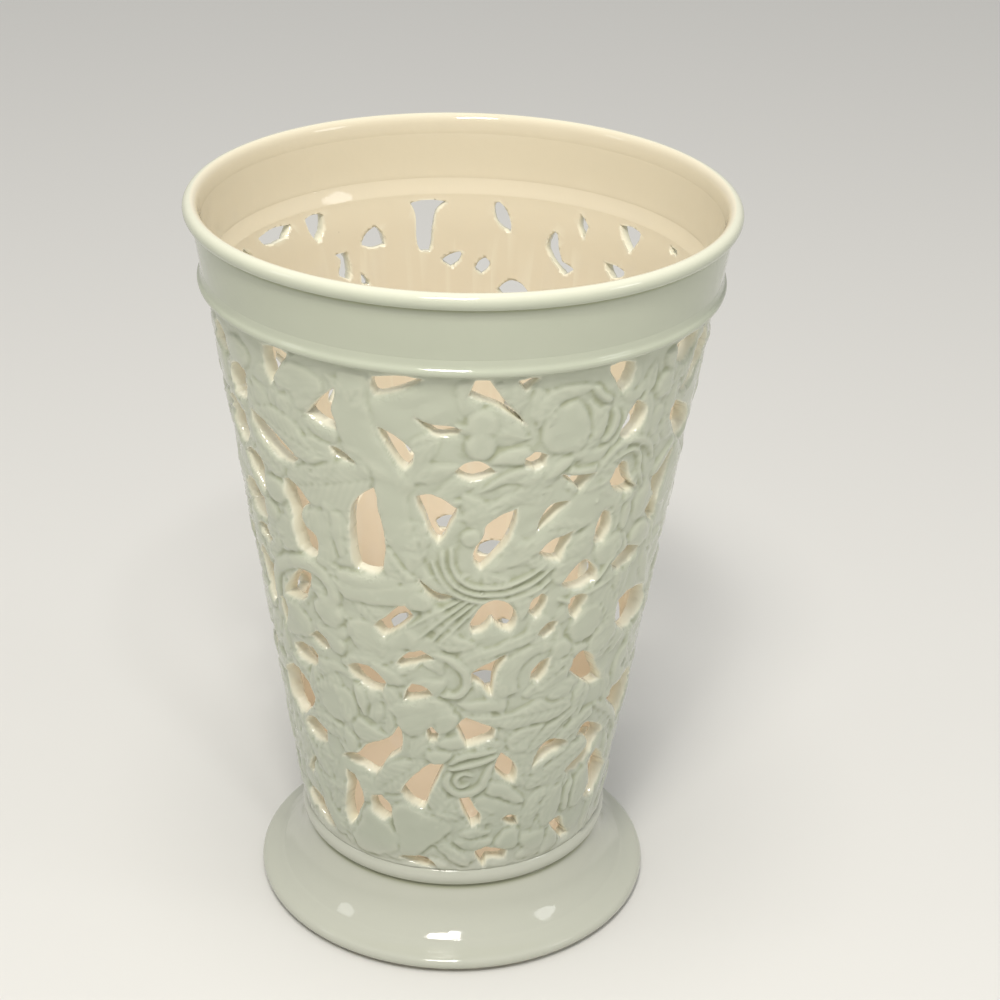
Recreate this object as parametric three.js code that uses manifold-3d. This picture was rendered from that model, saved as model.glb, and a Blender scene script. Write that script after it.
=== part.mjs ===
// Reticulated vase: a tapering pot on a spreading foot, its wall pierced all round.
// Millimetres, +Z up, origin at the centre of the base, the photographed side facing -Y.
// The pieces are stacked rings that meet on flat annular faces, as the pot was luted together.
import * as THREE from 'three';
import { mergeVertices } from 'three/addons/utils/BufferGeometryUtils.js';
import Module from 'manifold-3d';

const wasm = await Module();
wasm.setup();

// Heights above the table
const overallHeight = 218;
const footRingHeight = 1.2;
const footHeight = 21;
const baseBandHeight = 6;
const floorThickness = 4;
const beadHeight = 4.5;
const collarHeight = 14.6;
const lipHeight = 4.4;

// Radii
const mouthRadius = 76;
const footRadius = 59.1;
const bandTopRadius = 46.2;
const wallTopRadius = 70.8;
const lipRoll = 2.2;
const beadProjection = 1.7;
const waistStep = 1.6;
const collarStep = 0.7;

// Thicknesses and gaps
const wallThickness = 5;
const collarThickness = 2.8;
const footThickness = 5;
const footRingWidth = 5;
const fitGap = 0.3;
const cutterOverrun = 5;

// Facets round the pot, points along the side of one opening, and how far a face may be from flat
// before it counts as two
const facetsRound = 48;
const stepsAlongSide = 2;
const flatness = 0.01;

// Levels that follow from the heights
const lipBottom = overallHeight - lipHeight;
const collarBottom = lipBottom - collarHeight;
const wallTop = collarBottom - beadHeight;
const wallBottom = footHeight + baseBandHeight;

// Radii that follow: the waist under the band, and the foot of the collar over the wall
const waistRadius = bandTopRadius - waistStep;
const collarBottomRadius = wallTopRadius + collarStep;

// The height at which the pattern of openings was drawn, from the wall's bottom to its top
const patternBottom = 27;
const patternTop = 194.5;

const glazeOutside = new THREE.MeshStandardMaterial({ color: 0xd9dccb, roughness: 0.16, metalness: 0 });
const glazeInside = new THREE.MeshStandardMaterial({ color: 0xe9dbc4, roughness: 0.16, metalness: 0 });
const bareClay = new THREE.MeshStandardMaterial({ color: 0xe8e0cf, roughness: 0.8, metalness: 0 });

// Outlines of the openings as [degrees round from the front, height], each read off one side of
// the pot. Front openings under the collar come first, then row by row to the foot.
const frontOpenings = {
  slotUnderBead: [[-47.2, 192.2], [-46, 181.5], [-45, 184], [-41, 190.6], [-39.8, 192.6]],
  thorn: [[-34, 179.3], [-27.6, 186.5], [-29.2, 180], [-28.3, 174], [-36, 176.5]],
  slit: [[-30.3, 168.5], [-29.4, 165.8], [-24, 165], [-28, 168]],
  wedgeUnderBead: [[-18.6, 192], [-18.3, 186.5], [-16, 187.3], [-7.8, 192.8]],
  bow: [[-9.7, 181.5], [-6.5, 179.8], [0.3, 178.7], [-0.5, 177], [-4.8, 176.3], [-7, 178.2]],
  lean: [[-18, 177.3], [-10, 171], [-12.3, 165.2], [-15.5, 170.5]],
  tallWindow: [[-27, 134], [-26, 151], [-20, 158.3], [-19.3, 152], [-18, 143], [-18.5, 136],
    [-20, 131.3], [-26.5, 131]],
  beak: [[-9.8, 157.5], [-6.5, 158.4], [-3, 157], [-0.3, 154.2], [-2, 149], [-4.7, 143],
    [-6.5, 146], [-8, 151]],
  longLeaf: [[-57, 169], [-50, 167.3], [-40.7, 161], [-42, 159.5], [-47, 158.5], [-55.5, 163.5]],
  boot: [[-47, 152], [-45, 152.8], [-38.5, 147.8], [-41.8, 145], [-41.3, 140.5], [-37.8, 138],
    [-38, 133], [-39.5, 130.3], [-44, 130], [-45.5, 140]],
  spur: [[1.8, 188.8], [3, 193], [6, 193], [9.3, 187], [14.5, 179], [8.5, 184.8], [4.5, 187]],
  nick: [[12, 192.5], [16.5, 192.8], [13.8, 189.5]],
  lozenge: [[-1, 165.8], [1.3, 168.2], [4, 169], [6, 168], [8.2, 165.6], [3, 163]],
  bean: [[14.7, 169.5], [17.5, 170.6], [20, 169.3], [19.5, 166.5], [17.5, 165.5], [15, 167]],
  arrow: [[24, 162.5], [27, 161.6], [33, 161.2], [31, 159], [29.6, 156.6], [27.7, 159]],
  featherGap: [[19.4, 146], [20.4, 150.5], [21.6, 153], [24.3, 154], [27, 153.6], [24, 150.4]],
  kite: [[3.8, 139.3], [4.3, 142], [6.2, 146], [6.5, 149], [10, 152], [13.8, 153.6],
    [12.5, 144.5], [9.5, 139], [5.8, 134.5]],
  chin: [[20.2, 139], [22, 141.5], [26, 143], [29, 144], [27.5, 139], [26.3, 134.8]],
  notchUnderBead: [[33, 193], [35, 188.5], [37.8, 184], [39, 186], [39.2, 192.4]],
  cupUnderBead: [[54, 191.8], [55, 188], [57.5, 185.5], [62, 186.5], [64, 191.8]],
  shield: [[43, 179.5], [45.5, 177.5], [46.2, 175], [44.5, 170], [41, 169], [39, 170.5],
    [40.3, 176]],
  hook: [[38, 157], [39, 160.5], [41.2, 161.6], [43, 160.5], [45.5, 154], [48.5, 151],
    [45, 151], [41.5, 152.5]],
  drop: [[38, 147.2], [39.5, 146.5], [41, 141], [39.5, 137], [37.5, 136.8], [36, 140],
    [36.5, 144]],
  flankLeaf: [[57, 171.5], [60, 172.3], [64, 170], [70, 166], [72.5, 160], [68, 158],
    [64, 161], [60.5, 165.5]],
  flankSail: [[60.5, 175.5], [63, 180], [66, 188], [70, 190], [72, 180], [67, 175]],
  zigzag: [[55.5, 150.5], [59, 155], [64, 158], [62, 150], [60, 142], [62, 136], [60, 135.5],
    [57, 139], [55.5, 140.5], [57.5, 145]],
  underFeather: [[-9.7, 131.3], [-6, 128], [-0.6, 125.6], [-4.5, 124.3], [-7, 126.5]],
  saddle: [[3.6, 116.3], [5, 120.5], [8, 124.5], [12, 124.5], [14, 122.5], [16, 118],
    [14.5, 113.5], [11.5, 115], [9.5, 117.8], [7, 114.3], [4.5, 113.5]],
  pip: [[19, 119.5], [19.8, 123.5], [22.3, 125.2], [24, 123.5], [23, 119], [21.5, 117]],
  smallDiamond: [[22.4, 111.5], [25.5, 114.8], [28, 114.3], [27.3, 111], [24.5, 109.8]],
  fin: [[4.5, 100.3], [9, 103.3], [14.2, 105.5], [12, 101.5], [10.8, 97], [10.5, 92],
    [7.5, 95.5], [4.7, 97.5]],
  lean2: [[22, 98.5], [24, 101], [27, 102.3], [26.8, 99], [24.5, 94.5], [22, 95.5]],
  cradle: [[0.4, 81.3], [3.3, 84.7], [7, 82.7], [12.3, 79.8], [11.8, 76.3], [8, 75], [4, 73.5],
    [2.2, 77.5]],
  slantLozenge: [[-22.5, 113.5], [-19, 117], [-15.5, 121], [-13.5, 122.3], [-11.5, 118.5],
    [-14.5, 115], [-20, 110.3]],
  dish: [[-16.5, 102], [-13, 106], [-9.5, 107.5], [-6, 105], [-9, 103.5], [-15.5, 101]],
  smile: [[-15, 89.5], [-14, 93], [-12.5, 95.3], [-8, 94.6], [-6.5, 92.3], [-9, 90.8]],
  overPeony: [[-32, 97.2], [-25, 99], [-21, 96], [-20.3, 94.5], [-21.8, 91], [-25, 90.5],
    [-30, 93]],
  bud: [[-8.3, 79.3], [-7, 81], [-4.8, 78.5], [-5.5, 76], [-7.5, 75.5]],
  besidePeony: [[-45.6, 102], [-42.5, 104.8], [-39, 103.3], [-38, 101], [-40.6, 99],
    [-44, 100]],
  flankTongue: [[-56, 94], [-46.4, 97.3], [-44.2, 94.9], [-44.8, 92.5], [-48, 90.5], [-55, 91]],
  underScroll: [[-55.5, 111.5], [-51, 118.5], [-46, 123.5], [-42, 123.8], [-43.5, 119],
    [-45.5, 114.5], [-50, 112]],
  crescent: [[-17, 79.5], [-16.2, 74], [-17.3, 70], [-22, 66], [-26.5, 59.5], [-31, 60.5],
    [-39, 62], [-34.5, 65.3], [-32, 66], [-29, 69.5], [-23, 73], [-19.5, 75.5]],
  slantWindow: [[-8, 67], [-3.2, 67.2], [-4.5, 63.5], [-8, 55.5], [-10.3, 49.8], [-17.5, 55],
    [-14, 60.5]],
  leafGap: [[-38, 57.5], [-35, 56.5], [-32.5, 53.5], [-31.8, 50], [-34, 45], [-36, 41],
    [-39.5, 36.5], [-41, 42], [-38.5, 50]],
  thumb: [[-29, 48.5], [-28, 51.5], [-25, 52.2], [-22.5, 50], [-21.5, 47], [-22.3, 44],
    [-25, 43], [-28, 45]],
  lowSmile: [[-19.5, 30], [-17, 31], [-10, 31.2], [-7, 30.3], [-5.5, 27.9], [-10, 27.9],
    [-14, 28.8]],
  underSpiral: [[14.8, 70.8], [13.5, 67.5], [13.5, 64.5], [15.5, 62], [19.8, 58.8],
    [20.3, 64], [17.5, 68.5]],
  narrow: [[2, 55], [5, 55.5], [7, 51.5], [9.3, 48], [9, 45], [6.5, 43.8], [4.8, 47.5]],
  chip: [[17, 45.8], [19.5, 46.7], [22, 46], [23, 42], [21, 42.5]],
  lowFlag: [[8, 34.3], [15, 34.7], [20, 32.8], [19.3, 30], [12.5, 30.5], [11.5, 28], [10, 30]],
  cap: [[26, 63], [26.5, 67], [29, 70.5], [33, 71.5], [37, 70], [39, 68], [33, 66.5],
    [27.5, 64.5]],
  ess: [[42.7, 69.5], [44, 71.7], [46.5, 72.3], [51, 70], [55.5, 67], [56.3, 64.6], [53, 61.6],
    [49.4, 58.2], [45, 55.5], [41, 56], [40, 58], [43, 60], [47, 61.5], [48.8, 64.5],
    [47, 67.5], [43.5, 68.7]],
  besidePetals: [[52.5, 55], [55.6, 58.6], [58.4, 56.6], [63, 51.5], [67, 47], [63, 42],
    [60, 39.5], [56, 40.5], [53.8, 42.5], [54.7, 48]],
  sickle: [[36.5, 39.3], [39, 40], [41.5, 39.5], [44.5, 34.5], [48, 30.5], [45, 30], [42, 33]],
  flankWing: [[55.2, 77.5], [58, 79.8], [63, 79.5], [69, 81], [73, 76], [73, 68], [69.5, 63],
    [65.5, 68.5], [60, 73.5]],
  helmet: [[27.8, 127], [30, 129.5], [33, 132.8], [34.5, 132.9], [36, 131.5], [39, 127.5],
    [38.8, 125], [32, 124]],
  tent: [[44.3, 128.3], [46, 130], [49, 132], [52, 130.8], [55.3, 129], [53, 126.5],
    [48, 125], [45.5, 126]],
  tooth: [[31, 121], [35.5, 121.5], [36.5, 120.5], [35.5, 116], [34, 113.5], [32, 115.5]],
  pebble: [[50, 108.5], [51, 112.3], [54.5, 114.3], [60, 113.3], [65, 111.5], [68.5, 106],
    [66, 101], [61, 99.5], [55, 102]],
  tongue: [[35, 95], [35.5, 99], [37.5, 100.3], [40.3, 100], [43, 97.3], [45.5, 93],
    [49.5, 86.5], [46, 86.5], [41, 89.5]],
  leftBarrel: [[-70, 167.5], [-66, 169], [-62.5, 167], [-61, 160], [-63, 156.5], [-66, 155],
    [-70, 158]],
  leftStep: [[-64.5, 178.5], [-58, 182], [-57.3, 175], [-58.5, 172], [-64, 170.5]],
  leftHigh: [[-69.5, 190], [-65, 188], [-64, 184], [-65, 180.5], [-69, 181.5], [-72, 183]],
  leftFlag: [[-64, 153.5], [-58, 155.5], [-55.8, 152.5], [-56.5, 147], [-57, 144]],
  leftNut: [[-68, 143], [-62, 142], [-58.5, 140.5], [-58, 136], [-60, 133], [-67, 133.5],
    [-71, 137]],
  leftBead: [[-66.5, 129], [-60.5, 130.6], [-58, 128.6], [-60, 125.6], [-64, 125.6]],
  leftPod: [[-66, 122], [-61, 118], [-59.8, 116.5], [-62, 110], [-65, 104], [-68, 110],
    [-69, 118]],
  leftThorn: [[-59.2, 108.5], [-56, 108.5], [-55, 106.8], [-57, 103], [-59, 99]],
  leftBowl: [[-66, 70], [-66, 80], [-55, 86.5], [-48.5, 79], [-52.5, 73.5], [-60, 68]],
  leftFold: [[-57, 66], [-52, 70.5], [-45.3, 69], [-46, 64], [-52, 62.5]],
  leftSpine: [[-61, 46.5], [-55.5, 54.5], [-57, 50], [-58.5, 47]],
  leftLow: [[-64, 39], [-55, 39.5], [-53, 36], [-49, 31], [-55, 30], [-62, 33]],
};

// The back, as it shows over the rim and through the front openings
const backOpenings = {
  high1: [[112, 191.5], [113, 193], [116, 193], [115.5, 191]],
  high2: [[128.4, 192.2], [135.6, 192.4], [131, 185], [130, 187]],
  high3: [[131, 179], [138.5, 180], [136, 176]],
  high4: [[147.8, 192.5], [145.5, 189], [146.3, 185], [148.3, 189]],
  high5: [[154.5, 186], [156.8, 181], [154, 176], [151, 173], [148, 175.5], [152, 177],
    [153.3, 180.5]],
  high6: [[171, 193], [168, 188.5], [167.2, 183.5], [171, 186.5], [171.8, 191.5]],
  high7: [[172.3, 174], [174, 175.4], [176.7, 171.5], [175, 170]],
  high8: [[180, 177], [186, 174.2], [183.2, 172], [181, 174]],
  high9: [[184.5, 192.2], [194, 192.2], [192.8, 188.5], [192.7, 181.5], [191.5, 177], [189, 177],
    [188.3, 182.5], [187, 189.5]],
  high10: [[204, 186], [208.5, 181], [205, 179.5], [201.5, 180]],
  high11: [[206.5, 168.5], [209, 172.5], [209, 169]],
  high12: [[213, 179.5], [216.5, 179.5], [214.7, 177.5], [216, 173], [212.5, 171], [212.2, 175.5]],
  high13: [[218.8, 192.4], [224.6, 192.4], [221.3, 184]],
  high14: [[229.6, 192.2], [242.4, 192.2], [240.5, 189.5], [232, 188.5]],
  high15: [[246, 186.5], [250.5, 192.5], [250.5, 189.5]],
  low1: [[159, 127.5], [160.5, 130], [165.5, 132], [166.5, 130], [163, 128]],
  low2: [[178.5, 117.5], [180, 121], [184.5, 120.3], [186, 117.7]],
  low3: [[181.5, 93], [188, 91.3], [186.5, 88.5], [182.5, 88.5]],
  low4: [[163, 82], [163.5, 85.5], [172, 83.7], [173, 80.7], [167, 80.3]],
  low5: [[157.5, 56.5], [158, 59.5], [163.5, 59], [161.5, 55.5]],
  low6: [[162, 41], [173.5, 39.5], [173.5, 36], [164, 37]],
  low7: [[198.5, 58.5], [199, 61.3], [206.5, 60], [205, 56.5]],
  low8: [[139.5, 47], [143.5, 47.5], [145.5, 43.5], [142.5, 42.5]],
  low9: [[134, 94], [137.5, 93], [138, 90], [134.5, 90.5]],
  right1: [[76, 44], [80, 54], [86, 52], [88, 44], [82, 38]],
  right2: [[77, 99], [81, 109], [90, 106], [88, 96], [80, 93]],
  right3: [[76, 120], [80, 128], [88, 126], [85, 117]],
  right4: [[80, 61], [85, 68], [91, 65], [86, 59]],
  right5: [[76, 150], [83, 158], [87, 151], [80, 145]],
  right6: [[79, 82], [86, 89], [92, 85], [85, 78]],
  right7: [[111, 101], [118, 109], [124, 104], [120, 95], [114, 94]],
  right8: [[121, 80], [126, 90], [131, 86], [127, 77]],
  right9: [[97, 111], [104, 120], [110, 116], [103, 107]],
  right10: [[95, 32], [100, 39], [112, 37], [108, 30]],
  right11: [[117, 130], [120, 140], [127, 138], [125, 128]],
  left1: [[242, 107], [247, 118], [252, 115], [250, 104], [245, 101]],
  left2: [[244, 84], [251, 91], [258, 90], [252.5, 82.5]],
  left3: [[247, 60], [252, 69], [259, 66], [255, 57]],
  left4: [[263, 63], [268, 72], [277, 70], [272, 59]],
  left5: [[250, 40], [256, 48], [263, 44], [258, 36]],
  left6: [[279, 88], [284, 95], [290, 90], [286, 82]],
  left7: [[268, 53], [276, 55], [278, 50.5], [271, 48.5]],
};

// Front outlines that come again further round, where the pot was not seen
const repeats = [
  { turn: 162, names: ['slit', 'tallWindow', 'beak', 'longLeaf', 'lozenge', 'arrow', 'featherGap',
    'kite', 'chin', 'hook', 'flankLeaf', 'zigzag', 'smallDiamond', 'slantLozenge', 'dish', 'bud',
    'crescent', 'lowSmile', 'underSpiral', 'narrow', 'chip', 'sickle', 'flankWing', 'helmet',
    'tent', 'tooth', 'pebble', 'leftBarrel', 'leftStep', 'leftHigh', 'leftFlag', 'leftNut',
    'leftBead', 'leftBowl', 'leftFold', 'leftSpine'] },
  { turn: 263, names: ['bow', 'lean', 'tallWindow', 'beak', 'spur', 'nick', 'lozenge', 'kite',
    'underFeather', 'saddle', 'pip', 'fin', 'bud', 'thumb', 'chip', 'lowFlag'] },
];

function outerRadius(z) {
  const t = (z - wallBottom) / (wallTop - wallBottom);
  return bandTopRadius + t * (wallTopRadius - bandTopRadius);
}

function revolve(name, profile, material) {
  const points = profile.map(([r, z]) => new THREE.Vector2(r, z));
  if (profile[0][0] > 0) points.push(points[0].clone());
  const geometry = new THREE.LatheGeometry(points, facetsRound);
  geometry.rotateX(Math.PI / 2);
  const mesh = new THREE.Mesh(geometry, material);
  mesh.name = name;
  return mesh;
}

function toManifold(geometry) {
  const bare = geometry.clone();
  bare.deleteAttribute('normal');
  bare.deleteAttribute('uv');
  const merged = mergeVertices(bare, 1e-4);
  const kept = [];
  const index = merged.index.array;
  for (let i = 0; i < index.length; i += 3) {
    const [a, b, c] = [index[i], index[i + 1], index[i + 2]];
    if (a !== b && b !== c && c !== a) kept.push(a, b, c);
  }
  return new wasm.Manifold(new wasm.Mesh({
    numProp: 3,
    vertProperties: new Float32Array(merged.attributes.position.array),
    triVerts: new Uint32Array(kept),
  }));
}

function fromManifold(solid) {
  const data = solid.getMesh();
  const geometry = new THREE.BufferGeometry();
  geometry.setAttribute('position', new THREE.BufferAttribute(new Float32Array(data.vertProperties), 3));
  geometry.setIndex(Array.from(data.triVerts));
  geometry.computeVertexNormals();
  return geometry;
}

// A closed curve through the outline's points, so that the sides of an opening are softly bowed
function softened(outline) {
  const through = outline.map(([degrees, z]) => new THREE.Vector3(degrees, z, 0));
  const curve = new THREE.CatmullRomCurve3(through, true, 'centripetal');
  const soft = [];
  const count = outline.length;
  for (let i = 0; i < count; i += 1) {
    const next = outline[(i + 1) % count];
    const long = Math.hypot(next[0] - outline[i][0], next[1] - outline[i][1]) > 4.5;
    const steps = long ? stepsAlongSide : 1;
    for (let k = 0; k < steps; k += 1) {
      const p = curve.getPoint((i + k / steps) / count);
      soft.push([p.x, p.y]);
    }
  }
  return soft;
}

function onWall(degrees, z) {
  const angle = THREE.MathUtils.degToRad(degrees);
  const r = outerRadius(z);
  return new THREE.Vector3(r * Math.sin(angle), -r * Math.cos(angle), z);
}

// One straight cut through the wall, square to it at the middle of the opening
function cutter(outline, turn) {
  const slope = Math.atan2(wallTopRadius - bandTopRadius, wallTop - wallBottom);
  const scale = (wallTop - wallBottom) / (patternTop - patternBottom);
  const points = softened(outline).map(([degrees, z]) => (
    [degrees + turn, wallBottom + (z - patternBottom) * scale]));
  const middle = points.reduce((sum, [degrees, z]) => [sum[0] + degrees, sum[1] + z], [0, 0]);
  const degreesAtMiddle = middle[0] / points.length;
  const centre = onWall(degreesAtMiddle, middle[1] / points.length);
  const angle = THREE.MathUtils.degToRad(degreesAtMiddle);
  const across = new THREE.Vector3(Math.cos(angle), Math.sin(angle), 0);
  const outward = new THREE.Vector3(Math.sin(angle), -Math.cos(angle), -Math.tan(slope)).normalize();
  const upward = new THREE.Vector3().crossVectors(outward, across);
  const flat = points.map(([degrees, z]) => {
    const offset = onWall(degrees, z).sub(centre);
    return new THREE.Vector2(offset.dot(across), offset.dot(upward));
  });
  const reach = wallThickness + cutterOverrun;
  const geometry = new THREE.ExtrudeGeometry(new THREE.Shape(flat), {
    depth: reach + cutterOverrun, bevelEnabled: false, steps: 1,
  });
  const placed = new THREE.Matrix4().makeBasis(across, upward, outward);
  placed.setPosition(centre.addScaledVector(outward, -reach));
  geometry.applyMatrix4(placed);
  return toManifold(geometry);
}

function piercedWall() {
  const blank = revolve('blank', [
    [outerRadius(wallBottom) - wallThickness, wallBottom],
    [outerRadius(wallBottom), wallBottom],
    [outerRadius(wallTop), wallTop],
    [outerRadius(wallTop) - wallThickness, wallTop],
  ], glazeOutside);
  let wall = toManifold(blank.geometry);
  for (const outline of Object.values(frontOpenings)) wall = wall.subtract(cutter(outline, 0));
  for (const outline of Object.values(backOpenings)) wall = wall.subtract(cutter(outline, 0));
  for (const { turn, names } of repeats) {
    for (const name of names) wall = wall.subtract(cutter(frontOpenings[name], turn));
  }
  wall = wall.asOriginal().setTolerance(flatness).simplify(flatness);
  const mesh = new THREE.Mesh(fromManifold(wall), glazeOutside);
  mesh.name = 'pierced_wall';
  return mesh;
}

const wallTopInner = outerRadius(wallTop) - wallThickness;
const collarTopRadius = mouthRadius - lipRoll - fitGap / 2;
const lipCentre = mouthRadius - lipRoll;
const floorRadius = outerRadius(wallBottom) - wallThickness - fitGap;
const footTopInner = floorRadius - 6;

const vase = new THREE.Group();

// Standing ring, wiped bare of glaze
const ringOuter = footRadius - 2.6;
vase.add(revolve('foot_ring', [
  [ringOuter - footRingWidth, 0],
  [ringOuter, 0],
  [ringOuter, footRingHeight],
  [ringOuter - footRingWidth, footRingHeight],
], bareClay));

// Spreading foot, hollow beneath
const flare = footRadius - waistRadius;
const rise = footHeight - footRingHeight;
vase.add(revolve('foot', [
  [ringOuter - footRingWidth, footRingHeight],
  [footRadius - 1.2, footRingHeight],
  [footRadius, footRingHeight + 0.09 * rise],
  [footRadius - 0.05 * flare, footRingHeight + 0.16 * rise],
  [waistRadius + 0.8 * flare, footRingHeight + 0.24 * rise],
  [waistRadius + 0.55 * flare, footRingHeight + 0.42 * rise],
  [waistRadius + 0.3 * flare, footRingHeight + 0.63 * rise],
  [waistRadius + 0.06 * flare, footRingHeight + 0.9 * rise],
  [waistRadius, footHeight],
  [footTopInner, footHeight],
  [footTopInner, footHeight - 3],
  [waistRadius + 0.3 * flare - footThickness - 2, footRingHeight + 0.63 * rise - 1],
], glazeOutside));

// Moulded band that the wall stands on
const bandInner = floorRadius + fitGap;
vase.add(revolve('base_band', [
  [bandInner, footHeight],
  [waistRadius, footHeight],
  [waistRadius + 1, footHeight + 0.2 * baseBandHeight],
  [bandTopRadius, wallBottom],
  [bandInner, wallBottom],
], glazeOutside));

vase.add(revolve('floor', [
  [0, footHeight],
  [floorRadius, footHeight],
  [floorRadius, footHeight + floorThickness],
  [0, footHeight + floorThickness],
], glazeInside));

vase.add(piercedWall());

// Bead that covers the joint of wall and collar
const beadInner = collarBottomRadius - collarThickness;
vase.add(revolve('collar_bead', [
  [wallTopInner + 0.4, wallTop],
  [wallTopRadius, wallTop],
  [wallTopRadius + 0.8 * beadProjection, wallTop + 0.12 * beadHeight],
  [wallTopRadius + beadProjection, wallTop + 0.35 * beadHeight],
  [collarBottomRadius + 0.4, wallTop + 0.8 * beadHeight],
  [collarBottomRadius, collarBottom],
  [beadInner, collarBottom],
  [beadInner - 0.6, wallTop + 0.4 * beadHeight],
], glazeOutside));

vase.add(revolve('collar', [
  [beadInner, collarBottom],
  [collarBottomRadius, collarBottom],
  [collarTopRadius, lipBottom],
  [collarTopRadius - collarThickness + 0.4, lipBottom],
], glazeOutside));

// Rolled lip, flat where it sits on the collar
const lipProfile = [];
const lipSteps = 8;
const flatHalfAngle = 0.62;
for (let i = 0; i <= lipSteps; i += 1) {
  const angle = -Math.PI / 2 + flatHalfAngle + (i / lipSteps) * (2 * Math.PI - 2 * flatHalfAngle);
  const squash = (lipHeight / 2) / lipRoll;
  const z = lipBottom + lipHeight / 2 + lipRoll * squash * Math.sin(angle);
  lipProfile.push([lipCentre + lipRoll * Math.cos(angle), z]);
}
const lowest = lipProfile[0][1];
for (const point of lipProfile) {
  point[1] = lipBottom + (point[1] - lowest) * (lipHeight / (overallHeight - lowest));
}
vase.add(revolve('lip', lipProfile, glazeOutside));

export default vase;
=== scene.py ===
# %% [markdown]
# # A pierced vase in glazed earthenware
# The real vase is cast or pressed in one shape: a spreading foot, a tapering wall in low relief,
# a plain collar and a rolled lip. The openings are cut by hand between the leaves and birds while
# the clay is leather hard, then the vase is fired, glazed and fired again.
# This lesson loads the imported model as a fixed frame, turns the plain sections on a wheel as the
# potter does, models the relief as a height map wrapped round the wall, and glazes everything.

# %% Load the frame
import math

import bpy
import numpy as np
from mathutils import Matrix, Vector


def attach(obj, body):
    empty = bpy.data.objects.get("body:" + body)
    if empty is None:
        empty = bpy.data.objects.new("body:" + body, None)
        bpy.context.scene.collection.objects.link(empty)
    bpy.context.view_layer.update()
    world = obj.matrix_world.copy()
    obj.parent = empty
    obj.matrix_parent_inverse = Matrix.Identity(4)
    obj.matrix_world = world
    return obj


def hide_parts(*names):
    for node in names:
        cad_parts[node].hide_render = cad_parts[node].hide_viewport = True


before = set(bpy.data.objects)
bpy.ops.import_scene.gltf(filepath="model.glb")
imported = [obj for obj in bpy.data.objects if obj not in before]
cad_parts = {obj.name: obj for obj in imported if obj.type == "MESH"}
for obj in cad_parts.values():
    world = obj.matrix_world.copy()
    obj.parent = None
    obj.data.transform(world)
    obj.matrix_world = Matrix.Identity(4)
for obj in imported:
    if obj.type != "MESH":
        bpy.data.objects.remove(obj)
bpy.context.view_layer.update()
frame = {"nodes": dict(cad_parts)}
MM = 0.001
print("the frame holds", ", ".join(frame["nodes"]))

# %% [markdown]
# ## Small helpers
# Colours are written as the hex values that a screen shows, and shader sockets take linear light,
# so one function turns one into the other. One more function adds a node, sets it and links it.
# Every finished piece rides on the vase's only body, takes the place of one section of the frame,
# which it hides, and gets its material.

# %% Helpers for colours, nodes and finished pieces
def linear(hex_colour):
    """The linear RGBA of an sRGB hex colour."""
    channels = [int(hex_colour[i : i + 2], 16) / 255 for i in (1, 3, 5)]
    straight = [c / 12.92 if c <= 0.04045 else ((c + 0.055) / 1.055) ** 2.4 for c in channels]
    return (*straight, 1.0)


def add_node(tree, kind, settings=None, links=None):
    """Adds a shader node: settings go to its properties or sockets, links to its sockets."""
    node = tree.nodes.new("ShaderNode" + kind)
    for name, value in (settings or {}).items():
        if isinstance(name, str) and hasattr(node, name):
            setattr(node, name, value)
        else:
            node.inputs[name].default_value = value
    for name, output in (links or {}).items():
        tree.links.new(output, node.inputs[name])
    return node


def finish_piece(piece, node, material):
    """Gives a finished piece its material and its place in the frame."""
    piece.data.materials.clear()
    piece.data.materials.append(material)
    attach(piece, "root")
    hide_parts(node)
    size = [round(x / MM, 1) for x in piece.dimensions]
    print(piece.name, "measures", size, "mm with", len(piece.data.polygons), "faces")

# %% [markdown]
# ## The camera
# The photograph looks down on the vase from about 650 mm away and 200 mm above its rim. The
# camera's place and lens come from fitting the outlines of the mouth, the wall and the foot. It
# leans a degree and a half, because the photograph was taken by hand, and needs no lens shift.

# %% Place the camera
camera_place = Vector((0, -576.1, 415.6)) * MM
turn_right, look_down, lean = (math.radians(a) for a in (1.193, 26.752, 1.547))
focal_pixels, picture_pixels = 2229.3, 1000
sensor_width = 36

ahead = math.cos(look_down)
forward = Vector((math.sin(turn_right) * ahead, math.cos(turn_right) * ahead, -math.sin(look_down)))
level = Vector((math.cos(turn_right), -math.sin(turn_right), 0))
upright = level.cross(forward)
right = math.cos(lean) * level + math.sin(lean) * upright
up = math.cos(lean) * upright - math.sin(lean) * level

bpy.ops.object.select_all(action="DESELECT")
bpy.ops.object.camera_add()
camera = bpy.context.object
camera.name = "camera"
aim = Matrix((right, up, -forward)).transposed().to_4x4()
camera.matrix_world = Matrix.Translation(camera_place) @ aim
camera.data.sensor_width = sensor_width
camera.data.lens = sensor_width * focal_pixels / picture_pixels
camera.data.clip_end = 50
bpy.context.scene.camera = camera
print("lens", round(camera.data.lens, 1), "mm")

# %% [markdown]
# ## The studio
# A plain pale floor takes a soft shadow. The light is plain too: one lamp high in front and to
# the left, a broad one overhead that reaches down inside the vase, and a pale world, brighter
# overhead than at the sides, that fills the shadows. Glaze also needs something small and bright
# to mirror, so two little lamps stand above the front of the vase and give the short sharp glints
# of a glossy surface, and a weak one on each side draws a light along the edges that face it. The
# overhead lamp is kept out of the glaze, where it would show as a slab.

# %% The floor and the world
floor_material = bpy.data.materials.new("pale studio floor")
floor_material.use_nodes = True
floor_shader = floor_material.node_tree.nodes["Principled BSDF"]
floor_shader.inputs["Base Color"].default_value = linear("#d9d8d4")
floor_shader.inputs["Roughness"].default_value = 0.8

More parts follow.
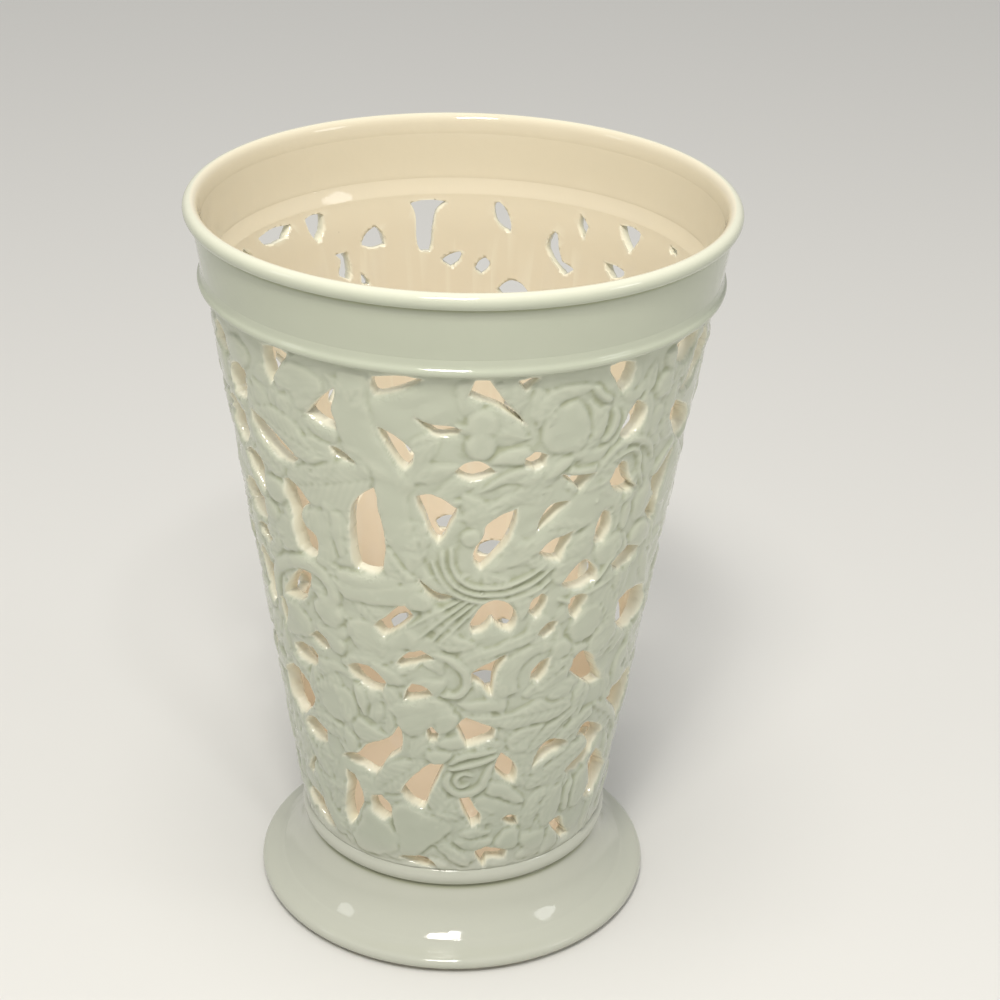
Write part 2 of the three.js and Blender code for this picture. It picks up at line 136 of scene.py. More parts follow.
bpy.ops.object.select_all(action="DESELECT")
bpy.ops.mesh.primitive_plane_add(size=12)
studio_floor = bpy.context.object
studio_floor.name = "studio_floor"
studio_floor.data.materials.append(floor_material)

world = bpy.data.worlds.new("pale studio")
bpy.context.scene.world = world
world.use_nodes = True
sky = world.node_tree
direction = add_node(sky, "TexCoord").outputs["Generated"]
up_share = add_node(sky, "SeparateXYZ", links={0: direction}).outputs["Z"]
overhead = add_node(sky, "MapRange", {"From Min": 0.0, "From Max": 0.75}, {"Value": up_share})
sky_colours = {"data_type": "RGBA", 6: linear("#d2d1ce"), 7: linear("#ffffff")}
sky_colour = add_node(sky, "Mix", sky_colours, {0: overhead.outputs["Result"]})
sky.links.new(sky_colour.outputs[2], sky.nodes["Background"].inputs["Color"])
sky.nodes["Background"].inputs["Strength"].default_value = 0.62

bpy.context.scene.view_settings.view_transform = "Standard"
print("the floor is", round(studio_floor.dimensions.x), "m across")

# %% The lamps
lamp_target = Vector((0, 0, 100)) * MM


def add_lamp(name, place, size, power, colour):
    """Adds a disc lamp that faces the vase. Its place and size are in mm, its power in watts."""
    place = Vector(place) * MM
    aim = (lamp_target - place).to_track_quat("-Z", "Y")
    bpy.ops.object.select_all(action="DESELECT")
    bpy.ops.object.light_add(type="AREA")
    lamp = bpy.context.object
    lamp.name = name
    lamp.data.shape = "DISK"
    lamp.data.size = size * MM
    lamp.data.energy = power
    lamp.data.color = linear(colour)[:3]
    lamp.matrix_world = Matrix.Translation(place) @ aim.to_matrix().to_4x4()


lamps = {
    "front_lamp": ((-130, -790, 1280), 300, 8.2, "#fffaf2"),
    "top_lamp": ((-60, -200, 1500), 520, 4.8, "#fffaf2"),
    "left_lamp": ((-900, -200, 700), 200, 0.3, "#ffffff"),
    "right_lamp": ((850, -350, 650), 260, 0.7, "#ffffff"),
    "high_glint": ((20, -700, 960), 110, 1.2, "#ffffff"),
    "near_glint": ((20, -290, 600), 34, 0.35, "#ffffff"),
}
for name, settings in lamps.items():
    add_lamp(name, *settings)
bpy.data.objects["top_lamp"].visible_glossy = False
print(len(lamps), "lamps")

# %% [markdown]
# ## The glaze
# The vase wears a clear lead-type glaze over a cream body. Glaze is glass, so it is a smooth
# coating with an index of about 1.5 over a matt colour, which is what the Principled shader's
# own specular layer gives. Outside, the coat reads as a pale sage cream. Inside it is painted a
# warmer, pinker cream, lighter low down, which is painted warm bounce light. Molten glaze runs off
# the edges into the hollows, where it lies thicker and looks darker and greener; that darker colour
# is also painted crease shade. The paler colour on the edges is partly thin glaze and partly
# painted light on the lit cut sides and the lip. Each piece carries two attributes for that:
# `within`, 0 outside and 1 inside, and `pool_and_painted_light`, above zero in hollows and below
# zero on edges. The wall has a third, `wiped`, for the edges that were sponged. The wall is painted
# a shade darker low down, as painted shade where less light falls from above. The surface is never
# quite flat: it ripples over about 9 mm and has a skin of about 1 mm.

# %% The glaze material
def make_glaze():
    """Clear glossy glaze over cream earthenware, dipped and fired."""
    glaze = bpy.data.materials.new("clear glaze on cream earthenware")
    glaze.use_nodes = True
    tree = glaze.node_tree
    shader = tree.nodes["Principled BSDF"]
    mixed = {"data_type": "RGBA"}
    tinted = {"data_type": "RGBA", "blend_type": "MULTIPLY"}
    place = add_node(tree, "TexCoord").outputs["Object"]
    height = add_node(tree, "SeparateXYZ", links={0: place}).outputs["Z"]
    within, pool_and_painted_light, wiped = (
        add_node(tree, "Attribute", {"attribute_name": name}).outputs["Fac"]
        for name in ("within", "pool_and_painted_light", "wiped")
    )

    # Clouds 35 mm wide, where the glaze is a little thicker or thinner
    cloudy = {"Scale": 28.0, "Detail": 3.0}
    clouds = add_node(tree, "TexNoise", cloudy, {"Vector": place}).outputs["Fac"]
    sages = {6: linear("#bfc3b0"), 7: linear("#b8bda9")}
    sage = add_node(tree, "Mix", mixed | sages, {0: clouds}).outputs[2]

    # The wall is painted a shade darker towards the bottom: painted shade, where less light falls
    # from above
    painted_low_shade_heights = {"From Min": 0.13, "From Max": 0.045}
    painted_low_shade = add_node(tree, "MapRange", painted_low_shade_heights, {"Value": height}).outputs[0]
    sage = add_node(tree, "Mix", tinted | {7: linear("#eff0f2")}, {0: painted_low_shade, 6: sage}).outputs[2]

    # The foot is greyer. The inside is painted a warmer, pinker cream, lighter and pinker low down
    # than under the lip: painted warm bounce light
    foot_top = {"From Min": 0.036, "From Max": 0.026, "To Max": 0.85}
    low = add_node(tree, "MapRange", foot_top, {"Value": height}).outputs[0]
    outside = add_node(tree, "Mix", mixed | {7: linear("#bcbdb0")}, {0: low, 6: sage}).outputs[2]
    painted_bounce_heights = {"From Min": 0.05, "From Max": 0.205}
    high = add_node(tree, "MapRange", painted_bounce_heights, {"Value": height}).outputs[0]
    painted_bounce_creams = {6: linear("#f2e5d2"), 7: linear("#d5cbb2")}
    inside = add_node(tree, "Mix", mixed | painted_bounce_creams, {0: high}).outputs[2]
    both = add_node(tree, "Mix", mixed, {0: within, 6: outside, 7: inside}).outputs[2]

    # Thick glaze in the hollows, darker and greener, and painted crease shade in the same colour;
    # thin glaze over the edges, paler, and painted light on the lit cut sides and the lip
    pools_and_shade = {"From Max": 1.0, "To Max": 0.85}
    thick_glaze_and_shade = add_node(tree, "MapRange", pools_and_shade, {"Value": pool_and_painted_light}).outputs[0]
    pooled_and_shaded = add_node(tree, "Mix", tinted | {7: linear("#c8c9af")}, {0: thick_glaze_and_shade, 6: both}).outputs[2]
    # The pale edge colour is thin glaze and also painted light
    edges = {"From Min": 0.0, "From Max": -1.0, "To Max": 0.75}
    thin_glaze_and_light = add_node(tree, "MapRange", edges, {"Value": pool_and_painted_light}).outputs[0]
    edged_and_lit = add_node(tree, "Mix", mixed | {7: linear("#ece9d5")}, {0: thin_glaze_and_light, 6: pooled_and_shaded}).outputs[2]

    # Rare iron specks of about half a millimetre
    cells = add_node(tree, "TexVoronoi", {"Scale": 55.0}, {"Vector": place})
    few = {"operation": "GREATER_THAN", 1: 0.80}
    rare = add_node(tree, "Math", few, {0: cells.outputs["Color"]}).outputs[0]
    round_dot = {"From Min": 0.012, "From Max": 0.02, "To Min": 0.5, "To Max": 0.0}
    dot = add_node(tree, "MapRange", round_dot, {"Value": cells.outputs["Distance"]}).outputs[0]
    speck = add_node(tree, "Math", {"operation": "MULTIPLY"}, {0: rare, 1: dot}).outputs[0]
    iron = {7: linear("#6d5f49")}
    coloured = add_node(tree, "Mix", mixed | iron, {0: speck, 6: edged_and_lit}).outputs[2]
    tree.links.new(coloured, shader.inputs["Base Color"])

    # Ripples 9 mm wide and a skin of 1 mm grain, both well under a tenth of a millimetre high
    ripples = add_node(tree, "TexNoise", {"Scale": 110.0, "Detail": 2.0}, {"Vector": place})
    skin = add_node(tree, "TexNoise", {"Scale": 900.0, "Detail": 2.0}, {"Vector": place})
    soft = add_node(
        tree, "Bump", {"Strength": 0.22, "Distance": 0.0006}, {"Height": ripples.outputs["Fac"]}
    )
    fine = add_node(
        tree,
        "Bump",
        {"Strength": 0.12, "Distance": 0.00008},
        {"Height": skin.outputs["Fac"], "Normal": soft.outputs["Normal"]},
    )

    # Under each opening the wet sponge leaves wrinkles 1.5 mm wide, which catch the light
    creased = {"Scale": 680.0, "Detail": 1.0, "Distortion": 1.0}
    wrinkles = add_node(tree, "TexNoise", creased, {"Vector": place})
    sponged = add_node(
        tree,
        "Bump",
        {"Distance": 0.00045},
        {"Strength": wiped, "Height": wrinkles.outputs["Fac"], "Normal": fine.outputs["Normal"]},
    )
    tree.links.new(sponged.outputs["Normal"], shader.inputs["Normal"])

    uneven_gloss = {"From Min": 0.3, "From Max": 0.7, "To Min": 0.03, "To Max": 0.07}
    gloss = add_node(tree, "MapRange", uneven_gloss, {"Value": clouds})
    tree.links.new(gloss.outputs["Result"], shader.inputs["Roughness"])
    shader.inputs["IOR"].default_value = 1.5
    return glaze


glaze = make_glaze()

# %% [markdown]
# ## The bare clay
# The vase stands on a ring that is wiped free of glaze, or it would stick to the kiln shelf.
# Fired earthenware is matt, a little sandy, and darker where it has rubbed on shelves.

# %% The bare clay material
def make_bare_clay():
    """Wiped, unglazed earthenware with a sandy grain of 0.5 mm."""
    clay = bpy.data.materials.new("bare fired earthenware")
    clay.use_nodes = True
    tree = clay.node_tree
    shader = tree.nodes["Principled BSDF"]
    place = add_node(tree, "TexCoord").outputs["Object"]
    grain = add_node(tree, "TexNoise", {"Scale": 2000.0, "Detail": 3.0}, {"Vector": place})
    rubbed = add_node(tree, "TexNoise", {"Scale": 90.0, "Detail": 4.0}, {"Vector": place})
    clays = {"data_type": "RGBA", 6: linear("#e6dcc6"), 7: linear("#c9b998")}
    colour = add_node(tree, "Mix", clays, {0: rubbed.outputs["Fac"]})
    tree.links.new(colour.outputs[2], shader.inputs["Base Color"])
    sand = {"Strength": 0.5, "Distance": 0.0001}
    rough = add_node(tree, "Bump", sand, {"Height": grain.outputs["Fac"]})
    tree.links.new(rough.outputs["Normal"], shader.inputs["Normal"])
    shader.inputs["Roughness"].default_value = 0.85
    return clay


bare_clay = make_bare_clay()

# %% [markdown]
# ## The turned sections
# The foot, the bands, the collar and the lip are round, so each is turned as on a wheel. The
# outline of one side is drawn by extruding a single point from place to place, then the spin tool
# sweeps it round the axis. A Subdivision Surface rounds the outline, and points close together keep
# an edge crisp. Every section keeps to the same place as the one it stands for in the frame.

# %% A helper that turns an outline
turning_steps = 96
rounding_levels = 2
same_point = 0.01 * MM


def turned(name, outline):
    """Turns an outline of (radius, height) points in mm, in order round the section."""
    bpy.ops.object.select_all(action="DESELECT")
    bpy.ops.mesh.primitive_plane_add(size=MM)
    piece = bpy.context.object
    piece.name = name
    piece.data.name = name
    bpy.ops.object.mode_set(mode="EDIT")
    bpy.ops.mesh.select_all(action="SELECT")
    bpy.ops.mesh.merge(type="CENTER")
    radius, height = outline[0]
    bpy.ops.transform.translate(value=(radius * MM, 0, height * MM))
    if radius > 0:
        outline = outline + outline[:1]
    for (r0, z0), (r1, z1) in zip(outline, outline[1:]):
        step = ((r1 - r0) * MM, 0, (z1 - z0) * MM)
        bpy.ops.mesh.extrude_vertices_move(TRANSFORM_OT_translate={"value": step})
    bpy.ops.mesh.select_all(action="SELECT")
    bpy.ops.mesh.remove_doubles(threshold=same_point)
    bpy.ops.mesh.spin(steps=turning_steps, angle=2 * math.pi, center=(0, 0, 0), axis=(0, 0, 1))
    bpy.ops.mesh.select_all(action="SELECT")
    bpy.ops.mesh.remove_doubles(threshold=same_point)
    bpy.ops.mesh.normals_make_consistent(inside=False)
    bpy.ops.object.mode_set(mode="OBJECT")
    rounding = piece.modifiers.new("rounding", "SUBSURF")
    rounding.levels = rounding.render_levels = rounding_levels
    bpy.ops.object.modifier_apply(modifier="rounding")
    bpy.ops.object.shade_smooth()
    return piece

# %% [markdown]
# ## Telling the glaze where it lies
# Blender hands over thousands of points at once as one array, and takes numbers back as a named
# attribute. A turned piece is marked by its own shape: where it faces the axis it is inside, and
# a few named grooves and edges are where glaze pools or runs thin, and where painted shade darkens
# the grooves and painted light pales the edges.

# %% Helpers that read and mark a mesh
def values_of(items, name, width=3, kind=np.float32):
    """One property of a mesh's vertices, corners or faces, as an array with a row for each."""
    values = np.empty(len(items) * width, kind)
    items.foreach_get(name, values)
    return values.reshape(-1, width)


def store(piece, name, values):
    """Stores one number a vertex as a named attribute."""
    attribute = piece.data.attributes.new(name, "FLOAT", "POINT")
    attribute.data.foreach_set("value", np.ascontiguousarray(values, np.float32))


def smooth_step(low, high, x):
    """0 below low, 1 above high and a soft curve between."""
    t = np.clip((x - low) / (high - low), 0, 1)
    return t * t * (3 - 2 * t)


def mark_sides(piece, pools_and_shade, edges=(), inner=False):
    """Stores where a turned piece faces in, where glaze pools and where it runs off an edge.

    Glaze in a pool is also painted shade, and on a thin edge painted light. A hollow or an edge
    is (radius, height, reach) in mm. An inner piece faces in all over.
    """
    points = piece.data.vertices
    places, normals = values_of(points, "co") / MM, values_of(points, "normal")
    radius = np.hypot(places[:, 0], places[:, 1])
    facing = (normals[:, 0] * places[:, 0] + normals[:, 1] * places[:, 1]) / np.maximum(radius, 0.1)
    store(piece, "within", np.ones(len(places)) if inner else smooth_step(0.15, -0.35, facing))

    def near(r, z, reach):
        return np.exp(-((np.hypot(radius - r, places[:, 2] - z) / reach) ** 2))

    # Hollows take pooled glaze and painted shade, edges thin glaze and painted light
    pool_and_painted_light = np.zeros(len(places))
    for pool_and_shade_mark in pools_and_shade:
        pool_and_painted_light = np.maximum(pool_and_painted_light, near(*pool_and_shade_mark))
    for edge in edges:
        pool_and_painted_light = np.minimum(pool_and_painted_light, -0.6 * near(*edge))
    store(piece, "pool_and_painted_light", pool_and_painted_light)


def turn_glazed(name, node, outline, pools_and_shade, edges=(), inner=False):
    """Turns a section and glazes it."""
    piece = turned(name, outline)
    mark_sides(piece, pools_and_shade, edges, inner)
    finish_piece(piece, node, glaze)

# %% [markdown]
# ## The foot
# The foot is a low spreading dish, thrown or moulded hollow. Its edge is a rounded roll about
# 4 mm thick, with a faint turned line 6 mm in from it, and its top sweeps up to the waist. The
# narrow ring under it is the only bare clay on the vase.

# %% Turn the standing ring and the foot
ring_outline = [
    (51.5, 1.2), (51.5, 0.6), (51.7, 0.15), (52.1, 0), (52.6, 0), (55.4, 0),
    (55.9, 0), (56.3, 0.15), (56.5, 0.6), (56.5, 1.2), (56.2, 1.25), (51.8, 1.25),
]
finish_piece(turned("foot_ring_bare_clay", ring_outline), "foot_ring", bare_clay)

foot_outline = [
    (51.3, 1.2), (52.2, 1.15), (57.0, 1.15), (58.2, 1.25), (59.0, 2.0), (59.2, 3.1), (58.9, 4.1),
    (58.1, 4.75), (56.9, 5.1), (55.6, 5.5), (54.2, 6.15), (53.0, 6.93), (52.4, 7.2), (51.8, 7.76),
    (50.0, 9.45), (48.4, 11.3), (47.0, 13.6), (46.0, 16.3), (45.2, 18.8), (44.75, 20.4),
    (44.4, 21.1), (43.4, 21.2), (36.0, 21.1), (34.9, 20.9), (34.9, 20.2), (34.9, 18.6),
    (35.3, 17.6), (37.6, 15.6), (41.3, 13.0), (45.4, 8.6), (48.4, 4.6), (50.2, 2.2),
]
turn_glazed("foot_spreading", "foot", foot_outline, [(44.7, 20.9, 0.9)])

# %% [markdown]
# ## The band under the wall
# A plain smooth roll, 6 mm high, joins the foot to the pierced wall. The glaze gathers in the
# groove below it, and the groove is also painted darker as painted shade.

# %% Turn the base band and the floor
band_outline = [
    (41.2, 21.3), (41.9, 21.0), (43.8, 21.0), (44.5, 21.15), (44.9, 21.6), (45.8, 22.4),
    (46.35, 23.8), (46.3, 25.4), (45.7, 26.5), (45.2, 27.0), (44.6, 27.15), (43.0, 27.15),
    (41.4, 27.1), (41.2, 26.6), (41.2, 24.0),
]
turn_glazed("base_band_roll", "base_band", band_outline, [(44.7, 21.2, 0.8)])

floor_outline = [
    (0, 21.05), (30, 21.05), (40.4, 21.05), (41.1, 21.4), (41.3, 23.0), (41.4, 27.5), (41.2, 28.6),
    (40.9, 27.2), (40.3, 26.0), (39.0, 25.25), (37.0, 25.02), (30, 25.0), (0, 25.0),
]
turn_glazed("floor_inside", "floor", floor_outline, [(40.6, 26.2, 1.6)], inner=True)

# %% [markdown]
# ## The bead, the collar and the lip
# Above the wall stands a rounded bead with a soft shoulder, then a plain cone, then a lip rolled
# outwards. Inside, the wall thins at the height of the bead, which leaves a soft ledge.

# %% Turn the bead, the collar and the lip
bead_outline = [
    (66.85, 194.2), (67.3, 193.9), (68.6, 194.1), (69.8, 194.35), (71.2, 194.35), (72.05, 194.75),
    (72.5, 195.3), (72.63, 195.95), (72.52, 196.5), (72.15, 196.9), (71.88, 197.3), (71.7, 198.0),
    (71.63, 199.2), (71.45, 200.6), (70.4, 201.0), (69.4, 200.8), (68.85, 200.0), (68.64, 199.2),
    (68.47, 198.7), (68.2, 198.0), (67.8, 197.0), (67.35, 196.0), (66.95, 195.1), (66.72, 194.5),
]
turn_glazed("collar_bead_round", "collar_bead", bead_outline, [(70.6, 194.4, 0.8)])

collar_outline = [
    (68.63, 199.3), (68.7, 199.15), (69.0, 199.05), (71.2, 199.0), (71.55, 199.05), (71.63, 199.3),
    (71.72, 200.2), (71.98, 202.0), (72.4, 204.7), (72.9, 208.0), (73.35, 211.0), (73.6, 212.8),
    (73.55, 213.9), (73.0, 214.6), (72.2, 214.7), (71.5, 214.4), (71.1, 213.0), (70.7, 210.5),
    (70.05, 206.5), (69.3, 202.5), (68.83, 200.4),
]
# The groove under the lip is painted darker: pooled glaze, and painted shadow under the roll
turn_glazed("collar_plain", "collar", collar_outline, [(73.6, 213.3, 0.7)])

lip_outline = [
    (71.35, 212.2), (71.0, 211.6), (71.0, 212.6), (71.2, 213.9), (71.45, 215.1), (71.8, 216.4),
    (72.5, 217.5), (73.6, 218.05), (74.8, 217.75), (75.65, 216.9), (75.98, 215.8), (75.75, 214.6),
    (75.0, 213.75), (74.0, 213.4), (73.0, 213.5), (72.0, 213.9), (71.6, 213.2),
]
# The lip's groove is painted darker, pooled glaze and painted shadow; its crest paler, thin glaze
# and painted light
turn_glazed("lip_rolled", "lip", lip_outline, [(73.6, 213.4, 0.7)], [(74.4, 217.6, 2.0)])

# %% [markdown]
# ## The pierced wall: where it is cut
# The real wall comes out of its mould with low relief all over it, and a knife then cuts the
# openings between the leaves, square to the wall. Their outlines are already in the frame's wall,
# so they are read from it: an opening's outline is where a face of the outer skin has no
# neighbour on that skin. Points that only mark a facet's edge lie on a straight line between
# their neighbours and are left out.

# %% Read the wall and its openings
def read_wall():
    """The wall's heights and radii in mm, and each opening as an outline of (degrees, height)."""
    mesh = frame["nodes"]["pierced_wall"].data
    mesh.calc_loop_triangles()
    places = values_of(mesh.vertices, "co").astype(float) / MM
    corners = values_of(mesh.loop_triangles, "vertices", kind=np.int32)
    rounded = np.round(places, 2)
    _, first, merged = np.unique(rounded, axis=0, return_index=True, return_inverse=True)
    places, corners = places[first], merged.reshape(-1)[corners]

    radius, height = np.hypot(places[:, 0], places[:, 1]), places[:, 2]
    low, high = float(height.min()), float(height.max())
    at_low, at_high = radius[height < low + 0.01], radius[height > high - 0.01]
    skin = at_low.max() + (height - low) / (high - low) * (at_high.max() - at_low.max())
    outer = corners[(radius > skin - 2)[corners].all(axis=1)]
    edges = {(a, b) for face in outer.tolist() for a, b in zip(face, face[1:] + face[:1])}
    following = {b: a for a, b in edges if (b, a) not in edges}

    outlines = []
    while following:
        start = next(iter(following))
        loop, point = [start], following.pop(start)
        while point != start:
            loop.append(point)
            point = following.pop(point)
        if len({round(float(height[p]), 2) for p in loop}) > 1:
            degrees = np.degrees(np.unwrap(np.arctan2(places[loop, 0], -places[loop, 1])))
            outlines.append(np.stack([degrees, height[loop]], axis=1).round(5))
    ends = [float(x) for x in (at_low.max(), at_high.max(), at_low.min(), at_high.min())]
    return low, high, ends, outlines


wall_low, wall_high, wall_ends, openings = read_wall()
wall_rise = wall_high - wall_low
wall_slope = (wall_ends[1] - wall_ends[0]) / wall_rise
slant = math.hypot(1, wall_slope)
wall_thickness = 5


def skin_radius(height):
    """The wall's outer radius at a height, at the top of its relief."""
    return wall_ends[0] + (height - wall_low) * wall_slope


def inner_radius(height):
    """The wall's inner radius at a height, with the slight flare that leads into the collar."""
    flare = 0.9 * np.clip((height - wall_high + 12) / 12, 0, 1) ** 2
    return wall_ends[2] + (height - wall_low) / wall_rise * (wall_ends[3] - wall_ends[2]) + flare


print(len(openings), "openings between", wall_low, "and", round(wall_high, 1), "mm")

# %% [markdown]
# ## The height map
# Relief this fine is easier to model flat. The wall is unrolled to a grid of heights, one value
# every 0.4 mm, as a sculptor would draw it on a strip of paper. Shapes are laid on the grid one
# after another, each a little over the ones before. A small window of the grid is flattened
# round each shape, so distances in it are true millimetres.

# %% The grid and the tools that work on it
grid_step = 0.4
middle_radius = skin_radius(wall_low + wall_rise / 2)
columns = round(2 * math.pi * middle_radius / grid_step)
rows = round(wall_rise / grid_step) + 1
angles = np.arange(columns) * 360 / columns - 180
heights = np.linspace(wall_low, wall_high, rows)
relief = np.zeros((rows, columns))
clay = np.full((rows, columns), 10.0)
chance = np.random.RandomState(5)


def around(degrees):
    """Degrees brought to between -180 and 180."""
    return (degrees + 180) % 360 - 180


def window(points, reach):
    """The grid cells round some points, their flat places in mm, and the points in those places."""
    points = np.array(points, float)
    middle = points.mean(axis=0)
    scale = math.radians(1) * skin_radius(middle[1])
    x, y = around(angles - middle[0]) * scale, (heights - middle[1]) * slant
    flat_x, flat_y = around(points[:, 0] - middle[0]) * scale, (points[:, 1] - middle[1]) * slant
    flat = np.stack([flat_x, flat_y], axis=1)
    wide, tall = np.abs(flat).max(axis=0) + reach
    across, along = np.flatnonzero(np.abs(x) <= wide), np.flatnonzero(np.abs(y) <= tall)
    x, y = np.meshgrid(x[across], y[along])
    return np.ix_(along, across), x, y, flat


print("the grid has", rows, "rows of", columns)

# %% Curves and distances on the grid
def curve_through(points, closed=True, corner=180):
    """A smooth curve through some points, broken where it turns by more than corner degrees."""
    cuts = 5
    if closed:
        before, after, spans = points[[-1]], points[:2], len(points)
    else:
        before, after = 2 * points[:1] - points[1:2], 2 * points[-1:] - points[-2:-1]
        spans = len(points) - 1
    p = np.concatenate([before, points, after])
    heading = np.unwrap(np.arctan2(*np.diff(p, axis=0).T[::-1]))
    turns = np.degrees(np.abs(np.diff(heading)))
    curve = []
    for i in range(spans):
        p0, p1, p2, p3 = p[i : i + 4]
        if turns[i] > corner:
            p0 = 2 * p1 - p2
        if turns[i + 1] > corner:
            p3 = 2 * p2 - p1
        k1 = np.linalg.norm(p1 - p0) ** 0.5 + 1e-6
        k2 = k1 + np.linalg.norm(p2 - p1) ** 0.5 + 1e-6
        k3 = k2 + np.linalg.norm(p3 - p2) ** 0.5 + 1e-6
        for t in k1 + (k2 - k1) * np.arange(cuts) / cuts:
            a1, a2 = p0 + (p1 - p0) * t / k1, p1 + (p2 - p1) * (t - k1) / (k2 - k1)
            a3 = p2 + (p3 - p2) * (t - k2) / (k3 - k2)
            b1, b2 = a1 + (a2 - a1) * t / k2, a2 + (a3 - a2) * (t - k1) / (k3 - k1)
            curve.append(b1 + (b2 - b1) * (t - k1) / (k2 - k1))
    if not closed:
        curve.append(points[-1])
    return np.array(curve)


far_away = 1e9


def from_line(x, y, start, end):
    """The share of a line at which each place's nearest point lies, and the steps from there."""
    (x0, y0), (dx, dy) = start, end - start
    share = np.clip(((x - x0) * dx + (y - y0) * dy) / (dx * dx + dy * dy + 1e-12), 0, 1)
    return share, x - x0 - share * dx, y - y0 - share * dy


def depth_inside(outline, x, y):
    """How far each place lies inside an outline in mm, below zero outside it."""
    nearest, inside = np.full(x.shape, far_away), np.zeros(x.shape, bool)
    for start, end in zip(outline, np.roll(outline, -1, axis=0)):
        _, off_x, off_y = from_line(x, y, start, end)
        nearest = np.minimum(nearest, off_x**2 + off_y**2)
        (x0, y0), (x1, y1) = start, end
        if y0 != y1:
            inside ^= ((y0 > y) != (y1 > y)) & (x < x0 + (y - y0) / (y1 - y0) * (x1 - x0))
    return np.where(inside, 1, -1) * np.sqrt(nearest)

# %% Soft patterns and blurring
def waves(size):
    """A soft random pattern over the grid, about -1 to 1, with waves of a size in mm."""
    trains = 30
    pattern = np.zeros((rows, columns))
    for _ in range(trains):
        turn, phase = chance.uniform(0, 2 * math.pi), chance.uniform(0, 6.3)
        length = size * chance.uniform(0.7, 1.4)
        round_wall = round(middle_radius * 2 * math.pi / length * math.cos(turn))
        up_wall = 2 * math.pi / length * math.sin(turn)
        pattern += np.cos(np.radians(angles) * round_wall + heights[:, None] * up_wall + phase)
    return pattern / math.sqrt(trains) / 1.4


def softened(field, reach):
    """A field blurred over a reach in mm, by averaging neighbours again and again."""
    for _ in range(max(1, round(2 * (reach / grid_step) ** 2))):
        padded = np.pad(field, ((1, 1), (0, 0)), mode="edge")
        field = (padded[:-2] + 2 * field + padded[2:]) / 4
        field = (np.roll(field, 1, axis=1) + 2 * field + np.roll(field, -1, axis=1)) / 4
    return field

# %% Draw the openings on the grid
def without_facet_points(flat):
    """An outline without the points on a straight line between their neighbours."""
    kept = []
    for before, point, after in zip(np.roll(flat, 1, axis=0), flat, np.roll(flat, -1, axis=0)):
        line = (after - before) / np.linalg.norm(after - before)
        step = point - before
        if abs(line[0] * step[1] - line[1] * step[0]) > 0.06:
            kept.append(point)
    return np.array(kept)


def without_cut_off_tips(inside):
    """Closes the tips of an opening that are too narrow for the grid to join to the rest."""
    open_cells, part = inside > 0, inside == inside.max()
    while True:
        grown, padded = part.copy(), np.pad(part, 1)
        for row, column in ((0, 1), (2, 1), (1, 0), (1, 2), (0, 0), (2, 2)):
            grown |= padded[row : row + len(part), column : column + len(part[0])]
        grown &= open_cells
        if (grown == part).all():
            return np.where(open_cells & ~part, -0.05, inside)
        part = grown


for outline in openings:
    cells, x, y, flat = window(outline, 4)
    smooth = curve_through(without_facet_points(flat), corner=48)
    clay[cells] = np.minimum(clay[cells], -without_cut_off_tips(depth_inside(smooth, x, y)))
print(round(float((clay > 0).mean()) * 100), "% of the wall is clay")

# %% [markdown]
# ## How a shape is laid on
# A modeller rolls, presses or cuts a pad of clay and lays it down: it is flat-topped with a rolled
# shoulder, it sinks a little at its rim, and it leaves a thin crease round it. Leaves also get a
# midrib and slanting side veins drawn with a tool. A stem or feather is a rolled string of clay
# that tapers at both ends.

# %% Tools that lay clay on the grid
def veins(x, y, outline, inside):
    """The grooves of a midrib and its side veins along a leaf, in mm of depth."""
    (ax, ay), (bx, by) = np.linalg.svd(outline - outline.mean(axis=0), full_matrices=False)[2]
    along, across = x * ax + y * ay, x * bx + y * by
    middle = 0.2 * np.exp(-((across / 0.45) ** 2))
    slanted = (along + np.abs(across) * 0.9) / 2.6
    side = 0.14 * np.maximum(0, np.cos(2 * math.pi * slanted)) ** 2
    return (middle + side) * smooth_step(0.3, 1.8, inside)


def ribs(x, y, outline, inside):
    """Shallow uneven grooves that run along a petal or a feather, in mm of depth."""
    ax, ay = np.linalg.svd(outline - outline.mean(axis=0), full_matrices=False)[2][0]
    along, across = x * ax + y * ay, y * ax - x * ay
    bent = across + 0.01 * along**2 + 0.3 * np.sin(0.8 * along + 1.1 * across)
    depth = 0.16 * (0.6 + 0.4 * np.sin(0.45 * along - 1.7 * across))
    grooves = np.maximum(0, np.cos(2 * math.pi * bent / 1.9)) ** 2
    return depth * grooves * smooth_step(0.3, 1.5, inside)


def lay(cells, inside, top, shoulder, grooves=0):
    """Lays a pad on the relief, where inside says how far each cell lies inside it."""
    under = relief[cells]
    rise = np.sqrt(1 - (1 - np.clip(inside / shoulder, 0, 1)) ** 2)
    rim = under - 0.08
    over = rim + (np.maximum(top, under + 0.15) - rim) * rise - grooves
    crease = 0.16 * np.exp(-((inside / 0.35) ** 2))
    relief[cells] = np.where(inside > 0, over, under - crease)


def lay_pad(points, top, tooling=None):
    """Lays a pad with a given outline. Its tooling is veins, ribs or nothing."""
    cells, x, y, flat = window(points, 2)
    outline = curve_through(flat)
    inside = depth_inside(outline, x, y) + wobble[cells]
    deepest = max(float(inside.max()), 0.5)
    crown = 0.2 * np.sqrt(np.clip(inside / deepest, 0, 1))
    grooves = tooling(x, y, outline, inside) if tooling else 0
    lay(cells, inside, top - 0.15 + crown, min(1.6, deepest * 0.8), grooves)


